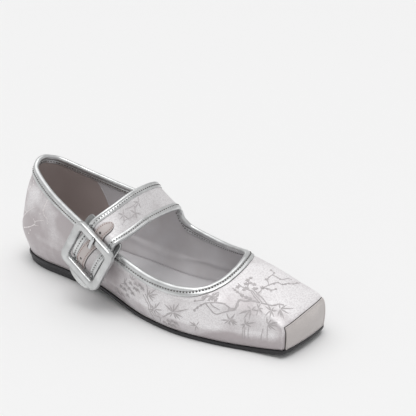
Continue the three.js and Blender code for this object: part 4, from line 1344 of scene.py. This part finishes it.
def rounded_square(half_width, half_height, radius, steps=9, straight=6):
    """Points round a square with round corners, with extra points along its straight sides."""
    corners = (
        (half_width - radius, half_height - radius, 0), (radius - half_width, half_height - radius, 90),
        (radius - half_width, radius - half_height, 180), (half_width - radius, radius - half_height, 270),
    )
    arcs = []
    for x, y, start in corners:
        angles = [math.radians(start + 90 * k / steps) for k in range(steps + 1)]
        arcs.append([(x + radius * math.cos(a), y + radius * math.sin(a)) for a in angles])
    points = []
    for arc, following in zip(arcs, arcs[1:] + arcs[:1]):
        points += arc
        (x0, y0), (x1, y1) = arc[-1], following[0]
        shares = [k / straight for k in range(1, straight)]
        points += [(x0 + (x1 - x0) * share, y0 + (y1 - y0) * share) for share in shares]
    return points


# The covered frame's section: share of the way inward from its outer edge, height as a share of
# half its thickness; a groove runs inside the outer edge
BUCKLE_SECTION = (
    (0.00, -0.55), (0.00, 0.25), (0.01, 0.60), (0.05, 0.90), (0.10, 1.04), (0.14, 1.00), (0.17, 0.86),
    (0.20, 0.98), (0.26, 1.05), (0.45, 1.04), (0.66, 1.00), (0.82, 0.93), (0.92, 0.76), (0.98, 0.50),
    (1.00, 0.20), (1.00, -0.55), (0.96, -0.85), (0.85, -1.0), (0.5, -1.0), (0.15, -1.0), (0.04, -0.85),
)
BUCKLE_WINDOW_CORNER = 2.4


def make_buckle():
    """The leather covered frame with its grooved edge, the prong, and the centre bar."""
    half_window = BUCKLE_WINDOW / 2
    outer = rounded_square(half_window + BUCKLE_BAR_WIDTH, BUCKLE_HEIGHT / 2, BUCKLE_CORNER)
    inner = rounded_square(half_window, BUCKLE_HEIGHT / 2 - BUCKLE_BAR_WIDTH, BUCKLE_WINDOW_CORNER)
    half = BUCKLE_THICKNESS / 2
    sections = []
    for (x0, y0), (x1, y1) in zip(outer, inner):
        sections.append([
            on_buckle(x0 + (x1 - x0) * t, -(y0 + (y1 - y0) * t), half * z)
            for t, z in BUCKLE_SECTION])
    ring = lofted("covered_buckle", sections, [shoe_material("buckle")], True)
    fitted(ring, "buckle", "buckle_frame")
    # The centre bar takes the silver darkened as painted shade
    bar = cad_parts["buckle_bar"]
    bar.data.materials.clear()
    bar.data.materials.append(shoe_material("dark_silver"))
    make_prong()


# The notch in the bar under the prong, drawn near-black as the painted shade there: down, half its width, and
# out from the bar's face
NOTCH = (
    (-17.3, 0.5, -0.2), (-16.9, 1.5, 0.05), (-16.0, 1.75, 0.16), (-14.0, 1.75, 0.16), (-12.6, 1.7, 0.05),
    (-12.2, 1.5, -0.2),
)


def make_prong():
    """The prong, from the hole in the strap's rise up over the buckle's upper bar."""
    radius = 1.0
    foot = np.array((0.0, -RISE_REACH - 0.6, HALF_RISE + STRAP_TOP + 2 * CLEARANCE + radius * 0.7))
    tip = np.array((0.0, -BAR_MIDDLE - 2.6, BUCKLE_THICKNESS / 2 + CLEARANCE + radius * 0.7))
    sections = []
    count = 20
    for step in range(count + 1):
        share = step / count
        centre = foot + (tip - foot) * share
        centre[2] += 0.5 * math.sin(math.pi * share)
        end = min(share, 1 - share) * count
        size = radius * (1.15 - 0.25 * share) * min(1.0, math.sqrt(max(end, 0.04) / 2))
        sections.append([
            on_buckle(
                centre[0] + 1.15 * size * math.cos(angle), centre[1],
                centre[2] + 0.8 * size * math.sin(angle))
            for angle in circle(14)])
    fitted(lofted("steel_prong", sections, [shoe_material("metal")]), "prong", "buckle_prong")
    # The notch is near-black: painted shade where the prong rests on the bar
    notch = []
    level = BUCKLE_THICKNESS / 2
    for down, half, out in NOTCH:
        notch.append([
            on_buckle(-half, down, level - 0.3), on_buckle(half, down, level - 0.3),
            on_buckle(half, down, level + out), on_buckle(-half, down, level + out)])
    fitted(lofted("prong_notch", notch, [shoe_material("edge")]), "buckle")


def make_tab():
    """The wide leather tab that holds the buckle, in silver darkened as painted shade, with a bright rolled
    front edge.
    """
    depth = TAB_THICKNESS / 2
    behind = -(CENTRE_BAR_DIAMETER / 2 + CENTRE_BAR_SET + CLEARANCE + depth)
    rows = [
        np.array((down, behind / BUCKLE_HEIGHT if out is None else out, rear, front))
        * (BUCKLE_HEIGHT, BUCKLE_HEIGHT, STRAP_WIDTH, STRAP_WIDTH)
        for down, out, rear, front in TAB_ROWS]
    last = len(rows) - 1
    ring_shape = (
        (-1, -0.6), (-1, 0.2), (-0.96, 0.9), (-0.85, 1.0), (-0.4, 1.0), (0.0, 1.0), (0.4, 1.0), (0.85, 1.0),
        (0.96, 0.9), (1, 0.2), (1, -0.6), (0.9, -1.0), (0.0, -1.0), (-0.9, -1.0),
    )
    sections, rim = [], []
    count = last * 8
    for step in range(count + 1):
        along = step / count * last
        index = min(int(along), last - 1)
        down, out, rear, front = catmull(*four_near(rows, index), along - index)
        ahead = rows[min(index + 1, last)] - rows[index]
        face = unit(np.array((-ahead[1], ahead[0])))
        ring = []
        for side, lift in ring_shape:
            reach = side * (rear if side < 0 else front)
            ring.append(on_buckle(
                reach, down + face[0] * lift * depth, out + face[1] * lift * depth))
        sections.append(ring)
        rim.append(on_buckle(front - 0.3, down + face[0] * depth * 0.9, out + face[1] * depth * 0.9))
    fitted(lofted("silver_tab", sections, [shoe_material("dark_silver")]), "binding", "buckle_tab")
    fitted(cord_along("tab_rim", rim[4:], 0.45, shoe_material("silver")), "binding")


# Woven figures, charted in the shoe's millimetres. Each row gives the mark, its width or
# size and its points; a spray's first point is its stem and the others are its leaf tips

PLUM_TREE = (
    ("line", 0.6, (220.5, -13.8), (215.8, -11.9), (211.9, -10.8), (207.7, -9.6)),
    ("line", 0.6, (218.8, -15.3), (214.4, -13.6), (210.8, -12.4), (206.8, -10.6)),
    ("line", 0.6, (216.8, -16.0), (213.3, -14.7), (210.4, -13.6), (207.1, -11.9)),
    ("line", 0.5, (212.4, -12.0), (214.1, -11.2), (217.7, -12.4), (220.5, -13.8)),
    ("line", 1.3, (216.6, -15.7), (211.7, -17.2), (208.6, -19.1), (205.0, -20.5), (204.8, -21.9),
     (205.8, -24.1), (204.9, -26.4), (201.4, -27.9)),
    ("twig", 1.1, (211.0, -16.3), (207.6, -16.9), (204.5, -17.3), (200.5, -16.6), (195.4, -15.7),
     (191.8, -15.6)),
    ("twig", 1.0, (207.0, -10.9), (204.7, -11.4), (201.6, -11.5), (199.1, -11.7), (194.9, -10.2),
     (191.1, -8.5), (187.9, -10.6)),
    ("twig", 0.9, (202.9, -10.6), (201.7, -7.5), (199.8, -4.6), (199.3, -1.5)),
    ("twig", 0.9, (193.6, -8.4), (193.3, -5.2), (194.5, -5.3)),
    ("twig", 1.0, (211.1, -11.4), (211.3, -7.9), (210.9, -4.7), (213.5, -2.9), (215.9, -2.1),
     (217.4, 0.7)),
    ("twig", 1.0, (210.4, -4.6), (211.6, -0.5), (210.0, 2.0), (207.6, 3.5)),
    ("twig", 0.9, (207.6, 3.5), (207.3, 7.1), (207.2, 10.5), (206.9, 12.8), (203.6, 13.8)),
    ("twig", 0.8, (207.5, 10.1), (210.8, 10.5), (213.9, 10.5), (216.0, 15.1), (218.2, 16.4)),
    ("twig", 1.1, (211.8, -0.4), (212.8, 3.3), (214.6, 6.7), (217.3, 6.8), (218.9, 10.9),
     (221.1, 13.3), (223.0, 18.6)),
    ("line", 1.1, (217.3, -15.5), (220.8, -14.0), (224.1, -12.3), (226.1, -8.8), (228.8, -7.3)),
)
PLUM_FLOWERS = (
    ("dabs", 2.0, (194.6, -9.9), (200.3, -8.1), (202.9, -10.8), (207.1, -8.4), (210.3, -4.4),
     (197.6, -13.2), (199.0, -4.8), (204.6, -5.4)),
    ("dabs", 1.6, (202.4, -13.0), (202.0, -5.8), (207.5, 3.7), (204.5, -17.3), (207.2, -17.1),
     (209.9, -16.6), (193.4, -5.4), (199.5, -1.9)),
    ("dabs", 1.2, (200.0, -16.5), (189.5, -9.5), (213.4, -3.4), (215.8, -3.0), (217.2, 0.4),
     (199.6, -5.2), (208.2, -7.3), (203.1, -17.0), (197.7, -16.1)),
    ("dabs", 1.05, (213.5, 3.4), (214.4, 6.5), (217.3, 7.2), (218.2, 9.2), (219.3, 11.5),
     (221.1, 13.3), (222.0, 16.6), (213.1, 10.4), (203.8, 13.6), (206.8, 12.9)),
)
BAMBOO_TOP = (
    ("spray", 1.2, (214.7, -21.9), (210.8, -21.0), (208.8, -26.4), (212.5, -26.2), (215.8, -25.3),
     (218.7, -20.4), (216.0, -19.3)),
    ("spray", 1.2, (218.2, -19.5), (215.4, -17.0), (217.5, -16.2), (222.0, -20.2), (219.4, -22.8),
     (220.9, -18.2)),
    ("spray", 1.2, (225.7, -16.4), (220.9, -16.0), (221.5, -13.9), (225.4, -12.9), (228.4, -14.1),
     (224.6, -20.9), (227.9, -20.8), (229.7, -19.0)),
    ("spray", 1.2, (228.9, -11.5), (226.0, -8.7), (229.9, -6.2), (234.2, -4.9), (234.5, -10.6),
     (235.1, -16.2), (233.5, -16.8), (231.1, -17.3)),
)
BAMBOO_LOW = (
    ("spray", 1.2, (214.1, 17.5), (213.1, 20.8), (211.5, 16.5), (215.9, 19.5), (220.0, 19.7),
     (218.2, 16.7), (212.9, 14.5)),
    ("spray", 1.2, (227.6, 20.1), (225.7, 23.5), (229.0, 22.9), (233.3, 22.3), (234.2, 20.0),
     (233.6, 17.6), (230.2, 17.7)),
    ("spray", 1.2, (205.1, 18.4), (203.9, 15.8), (202.8, 19.8), (206.4, 22.4), (207.9, 15.3),
     (209.4, 17.4)),
    ("line", 0.5, (213.5, 14.9), (214.0, 8.5)),
    ("line", 0.5, (214.5, 15.9), (215.4, 8.8)),
    ("line", 0.5, (216.6, 16.2), (217.6, 9.3)),
    ("line", 0.5, (225.6, 17.2), (225.4, 10.0)),
    ("line", 0.5, (227.9, 19.1), (229.4, 11.0)),
)
BAMBOO_SIDE = (
    ("line", 0.5, (144.1, 28.0), (145.2, 24.1), (145.0, 19.9), (147.4, 15.1), (151.3, 12.3)),
    ("line", 0.5, (140.8, 19.9), (143.5, 16.7), (146.2, 14.1), (146.7, 11.0), (149.0, 6.6),
     (149.9, 3.3)),
    ("line", 0.5, (142.9, 20.9), (145.3, 17.9), (147.8, 14.9), (148.7, 12.2), (151.1, 8.3),
     (155.9, 8.7), (154.9, 4.1)),
    ("spray", 1.1, (145.8, 20.7), (152.4, 27.1), (153.8, 23.6), (151.5, 20.4), (150.1, 17.7),
     (144.5, 24.5), (147.3, 24.9)),
    ("spray", 1.1, (151.7, 13.0), (156.0, 19.3), (152.6, 17.3), (158.6, 14.5), (156.9, 11.0),
     (148.7, 15.0), (146.9, 9.0), (145.5, 10.6), (152.5, 9.1)),
    ("spray", 1.2, (166.9, 15.5), (159.6, 18.9), (163.8, 19.4), (167.1, 21.0), (170.7, 22.3),
     (177.8, 20.3), (174.6, 14.2), (172.8, 12.4), (170.1, 11.9), (165.0, 12.0), (161.3, 12.7),
     (157.3, 8.8)),
    ("spray", 1.1, (204.2, 18.2), (201.4, 22.0), (206.1, 21.7), (208.1, 19.0), (209.5, 16.1),
     (201.5, 15.6), (198.8, 17.4), (205.4, 15.0)),
    ("spray", 1.0, (184.4, 11.1), (185.8, 14.0), (182.0, 12.8), (179.7, 10.6), (183.3, 7.2),
     (185.7, 9.0), (179.2, 12.7)),
)
ROCK = (
    ("line", 0.7, (187.3, 25.5), (190.9, 22.6), (195.1, 20.3), (199.7, 22.1), (203.4, 24.1),
     (199.9, 25.6), (197.5, 26.4), (193.0, 26.4), (189.7, 26.1), (187.3, 25.5)),
    ("line", 0.6, (189.7, 26.1), (192.2, 24.5), (197.0, 22.9)),
    ("line", 1.3, (204.3, 28.7), (205.0, 26.9), (205.5, 24.5), (203.5, 23.9)),
    ("twig", 1.0, (187.3, 25.6), (184.6, 23.6), (182.7, 21.8), (180.7, 20.0)),
    ("twig", 1.0, (185.6, 26.9), (183.5, 26.4), (180.7, 25.6)),
    ("twig", 1.0, (185.4, 27.2), (187.1, 28.9), (190.4, 28.2), (191.0, 29.6), (190.2, 30.6)),
    ("twig", 0.9, (187.1, 28.9), (187.2, 30.2), (186.7, 31.3)),
    ("dabs", 1.4, (190.1, 28.0), (192.1, 27.5), (189.0, 29.5), (188.6, 27.6), (185.5, 28.8)),
    ("dabs", 1.1, (181.4, 20.2), (183.0, 22.1), (184.9, 23.8), (180.6, 25.7), (189.9, 30.4),
     (186.8, 31.2), (191.2, 29.1), (184.3, 28.0)),
)
PINE = (
    ("pine", 1.3, (114.7, 13.7), (119.9, 17.5), (124.7, 21.0), (129.7, 23.4), (134.5, 24.6),
     (138.2, 24.7), (140.4, 23.3), (136.2, 20.5), (131.3, 16.7), (126.3, 13.6), (120.4, 11.9),
     (115.9, 11.6), (123.4, 16.9), (128.4, 19.0), (133.4, 21.0)),
    ("spray", 0.9, (130.9, 26.6), (129.3, 30.1), (132.5, 30.7), (134.4, 28.9)),
    ("spray", 0.9, (122.7, 21.0), (119.8, 20.7), (123.6, 25.3), (126.6, 27.1)),
    ("pine", 1.2, (159.3, 5.2), (163.5, 8.0), (166.9, 8.8), (169.6, 8.1), (163.6, 5.2),
     (159.5, 2.8), (166.9, 5.4)),
)
HEEL_BOUGH = (
    ("twig", 1.1, (3.3, 29.5), (7.4, 34.3), (13.9, 39.7), (19.3, 43.6), (25.1, 47.0)),
    ("twig", 0.9, (13.1, 39.2), (8.8, 40.0)),
    ("twig", 0.8, (16.9, 42.0), (15.3, 43.9)),
    ("twig", 1.1, (9.8, 26.9), (18.8, 30.5), (25.2, 34.3), (26.8, 37.0), (35.5, 40.0)),
    ("twig", 0.8, (25.6, 35.4), (23.7, 37.5)),
    ("twig", 0.8, (23.6, 33.4), (29.0, 34.4)),
    ("twig", 0.9, (38.4, 55.4), (36.8, 50.9), (35.5, 47.0), (36.6, 44.0), (40.6, 42.6),
     (41.7, 40.0)),
    ("dabs", 1.2, (14.1, 57.6), (12.0, 54.7), (17.2, 62.5), (31.5, 59.0), (16.9, 56.7)),
    ("dabs", 0.9, (12.3, 64.4), (33.9, 58.3), (30.6, 57.4), (36.8, 50.9), (34.8, 47.4),
     (31.6, 43.7), (36.9, 44.3), (19.7, 28.3), (17.5, 25.1), (17.5, 60.3)),
    ("dabs", 0.6, (15.3, 44.1), (25.1, 47.1), (35.5, 40.0), (23.6, 37.6), (29.3, 34.5),
     (40.6, 39.3), (39.5, 55.7)),
)
STRAP_SPRAYS = (
    ("spray", 1.0, (-2.0, 28.0), (-5.5, 26.0), (-5.0, 30.5), (-1.0, 32.5), (2.2, 30.5), (2.6, 26.6)),
    ("spray", 1.0, (1.5, 20.0), (-2.4, 18.2), (-1.8, 22.4), (2.4, 24.0), (5.0, 21.4), (4.4, 17.2)),
    ("spray", 0.9, (-3.0, 14.0), (-6.0, 12.0), (-5.4, 17.2), (-1.4, 18.4), (0.8, 14.8)),
    ("line", 0.45, (3.0, 33.0), (1.4, 29.0), (2.4, 24.0), (1.6, 20.0)),
    ("line", 0.45, (-4.4, 25.0), (-3.2, 20.0), (-3.8, 14.0)),
)

# Which charts lie on which face: seen from the top, from either side, or along the strap
FIGURES = (
    ("top", PLUM_TREE + PLUM_FLOWERS + BAMBOO_TOP),
    ("lateral", BAMBOO_LOW + BAMBOO_SIDE + ROCK + PINE + HEEL_BOUGH),
    ("medial", BAMBOO_LOW + BAMBOO_SIDE + ROCK + PINE + HEEL_BOUGH),
    ("strap", STRAP_SPRAYS),
)
# The strap's charts count millimetres from this place, with so many of them to a row of its path
SPRAY_PLACE = 3.0
SPRAY_ROW = 15.5


def ribbon(route, widths):
    """A flat ribbon along chart points: its points and its faces."""
    points = []
    last = len(route) - 1
    for k, point in enumerate(route):
        run = unit(route[min(k + 1, last)] - route[max(k - 1, 0)])
        side = np.array((-run[1], run[0])) * widths[k] / 2
        points += [point + side, point - side]
    return points, [(2 * k, 2 * k + 1, 2 * k + 3, 2 * k + 2) for k in range(last)]


def leaf(stem, tip, width):
    """A slim bamboo leaf from its stem's end to its tip."""
    stem, tip = np.array(stem, float), np.array(tip, float)
    shares = np.linspace(0, 1, 8)
    route = [stem + (tip - stem) * (0.08 + 0.92 * share) for share in shares]
    return ribbon(route, [0.68 * width * max(math.sin(math.pi * share ** 0.8), 0.12) for share in shares])


def dab(centre, size, number):
    """A small spot of five petals: a blossom or a bud."""
    steps = 20
    centre = np.array(centre, float)
    points = [centre]
    for angle in circle(steps):
        reach = size * (0.36 + 0.44 * abs(math.cos(2.5 * angle + number)))
        points.append(centre + np.array((math.cos(angle), math.sin(angle))) * reach)
    return points, [(0, k, k % steps + 1) for k in range(1, steps + 1)]


def pine_fan(x, y, size):
    """The needles of one pine tuft, spread from its foot."""
    needles = 9
    spread = []
    for k in range(needles):
        angle = math.radians(-25 + 230 * k / (needles - 1))
        reach = size * (1.7 + 0.25 * math.sin(3 * k))
        spread.append(leaf((x, y), (x + reach * math.cos(angle), y + reach * math.sin(angle)), 0.5))
    return spread


def marks_of(kind, size, points):
    """The marks of one chart row, each as flat points and faces."""
    if kind == "pine":
        return [needle for x, y in points for needle in pine_fan(x, y, size)]
    if kind == "spray":
        return [leaf(points[0], tip, size) for tip in points[1:]]
    if kind == "dabs":
        return [dab(point, size, number) for number, point in enumerate(points)]
    route = smooth_route(points, 0.9)
    last = len(route) - 1
    thinning = 0.7 if kind == "twig" else 0.0
    widths = []
    for k, point in enumerate(route):
        worn = soft_wave((point[0], point[1], 0.0), 2.0, 0.0)
        widths.append(size * (0.82 + 0.3 * worn - 0.75 * thinning * k / last))
    return [ribbon(route, widths)]


# Shares of the wall's height: where figures start over the feather edge, where they end under the
# binding, and from where they may lie over the toe panel
FIGURES_FROM, FIGURES_TO, OVER_PANEL = 0.03, 0.93, 0.53


def figure_room(place, share):
    """True where the satin is open: off the binding, the feather edge and the toe panel."""
    if share < FIGURES_FROM or share > FIGURES_TO:
        return False
    return not (TOE_CORNER_LATERAL - 0.1 < place < TOE_CORNER_MEDIAL + 0.1 and share < OVER_PANEL)


def figure_seat(plane, a, b):
    """The satin's point and normal under a chart point, or None where no figure may lie."""
    if plane == "strap":
        half = STRAP_WIDTH / 2
        if abs(a) > half:
            return None
        at = strap_station(SPRAY_PLACE + b / SPRAY_ROW)
        return at(a, strap_face(a / half)), at(a, 1.0) - at(a, 0.0)
    seen = seen_on_satin(plane, a, b)
    if seen is None or not figure_room(seen[2], seen[3]):
        return None
    return seen[0], seen[1]


def add_mark(vertices, faces, seats, cells, lift):
    """Adds one mark as a thin closed spot that straddles the satin."""
    kept = [cell for cell in cells if all(seats[k] is not None for k in cell)]
    first = {}
    for k in sorted({k for cell in kept for k in cell}):
        point, normal = seats[k]
        first[k] = len(vertices)
        vertices += [point + normal * lift, point - normal * lift]
    edges = set()
    for cell in kept:
        top = [first[k] for k in cell]
        faces += [tuple(top), tuple(corner + 1 for corner in reversed(top))]
        edges |= set(zip(top, top[1:] + top[:1]))
    for a, b in sorted(edges):
        if (b, a) not in edges:
            faces.append((b, a, a + 1, b + 1))


def make_figures():
    """The woven plum blossom, bamboo, rock and pine, laid mark by mark on the satin."""
    lift = sizes().thread / MM
    vertices, faces = [], []
    for plane, rows in FIGURES:
        for kind, size, *points in rows:
            for flat, cells in marks_of(kind, size, points):
                if plane == "medial":
                    cells = [cell[::-1] for cell in cells]
                seats = [figure_seat(plane, *point) for point in flat]
                add_mark(vertices, faces, seats, cells, lift)
    piece = mesh_object("woven_figures", vertices, faces, [shoe_material("figures")])
    piece.data.set_sharp_from_angle(angle=SHARP_EDGE)
    fitted(piece, "upper")


# The stage

# Where the photograph was taken from: the lens's place in the shoe's millimetres, its angles in
# degrees, and its focal length in pixels of the square picture
EYE = (554.0, -486.0, 316.0)
EYE_AZIMUTH = 38.8
EYE_ELEVATION = 21.3
FOCAL_PIXELS = 1050
PHOTO_PIXELS = 416

# The studio's light: where each lamp stands as seen from the camera (right, behind, up), how strong
# it is and how wide in degrees
LAMPS = (
    ("key", (0.1, -0.2, 1.2), 0.68, 35.0),
    ("top", (-0.25, 0.2, 1.8), 0.85, 70.0),
)
SKY = 0.58
# The floor's half size and its level, in metres
FLOOR_REACH = 40.0
FLOOR_LEVEL = -0.0002
SENSOR_WIDTH = 36.0


def make_stage():
    """A pale floor, soft studio light and a camera at the photograph's angle."""
    scene = bpy.context.scene
    scene.view_settings.view_transform = "Standard"
    world = bpy.data.worlds.new("studio")
    world.use_nodes = True
    sky = world.node_tree.nodes["Background"].inputs
    sky["Color"].default_value = (1.0, 1.0, 1.0, 1.0)
    sky["Strength"].default_value = SKY
    scene.world = world
    mesh = bpy.data.meshes.new("floor")
    corners = [
        (x * FLOOR_REACH, y * FLOOR_REACH, FLOOR_LEVEL) for x, y in ((-1, -1), (1, -1), (1, 1), (-1, 1))]
    mesh.from_pydata(corners, [], [(0, 1, 2, 3)])
    floor = linked("floor", mesh)
    paper = Nodes("studio_floor", tuple(scene.shoe_colours.floor), 0.7)
    paper.bump(paper.noise(240.0, 2.0), 0.02, 0.2)
    mesh.materials.append(paper.material)
    floor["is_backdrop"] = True

    azimuth, elevation = math.radians(EYE_AZIMUTH), math.radians(EYE_ELEVATION)
    away = Vector((-math.sin(azimuth), math.cos(azimuth), 0.0))
    right = Vector((math.cos(azimuth), math.sin(azimuth), 0.0))
    look = away * math.cos(elevation) - Vector((0.0, 0.0, math.sin(elevation)))
    camera = linked("camera", bpy.data.cameras.new("camera"))
    camera.location = placed(EYE)
    aim(camera, look)
    camera.data.sensor_width = SENSOR_WIDTH
    camera.data.lens = FOCAL_PIXELS / PHOTO_PIXELS * SENSOR_WIDTH
    scene.camera = camera

    for name, (to_right, behind, up), strength, width in LAMPS:
        data = bpy.data.lights.new(name, "SUN")
        data.energy = strength
        data.angle = math.radians(width)
        lamp = linked(name, data)
        lamp.location = right * to_right + away * behind + Vector((0.0, 0.0, up))
        aim(lamp, -lamp.location)


def aim(thing, direction):
    thing.rotation_mode = "QUATERNION"
    thing.rotation_quaternion = direction.to_track_quat("-Z", "Y")


# The add-on: one operator for each group of pieces, a panel that lists them, and the run

class SHOE_OT_stage(bpy.types.Operator):
    """Make the floor, the lights and the camera"""
    bl_idname = "shoe.stage"
    bl_label = "Stage"

    def execute(self, context):
        make_stage()
        return {"FINISHED"}


class SHOE_OT_sole(bpy.types.Operator):
    """Make the black sole and its heel block"""
    bl_idname = "shoe.sole"
    bl_label = "Sole and Heel"

    def execute(self, context):
        make_sole()
        return {"FINISHED"}


class SHOE_OT_insole(bpy.types.Operator):
    """Make the grey insole"""
    bl_idname = "shoe.insole"
    bl_label = "Insole"

    def execute(self, context):
        make_insole()
        return {"FINISHED"}


class SHOE_OT_upper(bpy.types.Operator):
    """Make the hollow satin upper with its lining"""
    bl_idname = "shoe.upper"
    bl_label = "Upper"

    def execute(self, context):
        make_upper()
        return {"FINISHED"}


class SHOE_OT_toe_panel(bpy.types.Operator):
    """Make the toe panel and its folded seam"""
    bl_idname = "shoe.toe_panel"
    bl_label = "Toe Panel"

    def execute(self, context):
        make_toe_panel()
        return {"FINISHED"}


class SHOE_OT_figures(bpy.types.Operator):
    """Lay the woven figures on the satin"""
    bl_idname = "shoe.figures"
    bl_label = "Woven Figures"

    def execute(self, context):
        make_figures()
        return {"FINISHED"}


class SHOE_OT_binding(bpy.types.Operator):
    """Bind the collar and the throat in silver leather"""
    bl_idname = "shoe.binding"
    bl_label = "Collar Binding"

    def execute(self, context):
        make_binding()
        return {"FINISHED"}


class SHOE_OT_strap(bpy.types.Operator):
    """Make the satin strap"""
    bl_idname = "shoe.strap"
    bl_label = "Strap"

    def execute(self, context):
        make_strap()
        return {"FINISHED"}


class SHOE_OT_strap_bindings(bpy.types.Operator):
    """Bind the strap's two edges in silver leather"""
    bl_idname = "shoe.strap_bindings"
    bl_label = "Strap Bindings"

    def execute(self, context):
        make_strap_bindings()
        return {"FINISHED"}


class SHOE_OT_patch(bpy.types.Operator):
    """Make the patch down the strap with its holes and pink stitches"""
    bl_idname = "shoe.patch"
    bl_label = "Strap Patch"

    def execute(self, context):
        make_patch()
        return {"FINISHED"}


class SHOE_OT_tip(bpy.types.Operator):
    """Make the leather tip of the strap"""
    bl_idname = "shoe.tip"
    bl_label = "Strap Tip"

    def execute(self, context):
        make_tip()
        return {"FINISHED"}


class SHOE_OT_tab(bpy.types.Operator):
    """Make the leather tab that holds the buckle"""
    bl_idname = "shoe.tab"
    bl_label = "Buckle Tab"

    def execute(self, context):
        make_tab()
        return {"FINISHED"}


class SHOE_OT_buckle(bpy.types.Operator):
    """Make the leather covered buckle and its prong"""
    bl_idname = "shoe.buckle"
    bl_label = "Buckle"

    def execute(self, context):
        make_buckle()
        return {"FINISHED"}


OPERATORS = (
    SHOE_OT_stage, SHOE_OT_sole, SHOE_OT_insole, SHOE_OT_upper, SHOE_OT_toe_panel, SHOE_OT_figures,
    SHOE_OT_binding, SHOE_OT_strap, SHOE_OT_strap_bindings, SHOE_OT_patch, SHOE_OT_tip, SHOE_OT_tab,
    SHOE_OT_buckle,
)


class SHOE_PT_panel(bpy.types.Panel):
    """Lists the shoe's sizes, colours and pieces"""
    bl_label = "Mary Jane Flat"
    bl_idname = "SHOE_PT_panel"
    bl_space_type = "VIEW_3D"
    bl_region_type = "UI"
    bl_category = "Shoe"

    def draw(self, context):
        for group in (context.scene.shoe_sizes, context.scene.shoe_colours):
            for key in group.__annotations__:
                self.layout.prop(group, key)
        for kind in OPERATORS:
            self.layout.operator(kind.bl_idname)


CLASSES = (ShoeSizes, ShoeColours, *OPERATORS, SHOE_PT_panel)


def register():
    for kind in CLASSES:
        bpy.utils.register_class(kind)
    bpy.types.Scene.shoe_sizes = PointerProperty(type=ShoeSizes)
    bpy.types.Scene.shoe_colours = PointerProperty(type=ShoeColours)


def unregister():
    del bpy.types.Scene.shoe_colours
    del bpy.types.Scene.shoe_sizes
    for kind in reversed(CLASSES):
        bpy.utils.unregister_class(kind)


def main():
    register()
    bpy.ops.shoe.stage()
    bpy.ops.shoe.sole()
    bpy.ops.shoe.insole()
    bpy.ops.shoe.upper()
    bpy.ops.shoe.toe_panel()
    bpy.ops.shoe.figures()
    bpy.ops.shoe.binding()
    bpy.ops.shoe.strap()
    bpy.ops.shoe.strap_bindings()
    bpy.ops.shoe.patch()
    bpy.ops.shoe.tip()
    bpy.ops.shoe.tab()
    bpy.ops.shoe.buckle()
    corners = {"cad": cad_box, "visual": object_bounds()}
    {key: [list(low), list(high)] for key, (low, high) in corners.items()}


if __name__ == "__main__":
    main()
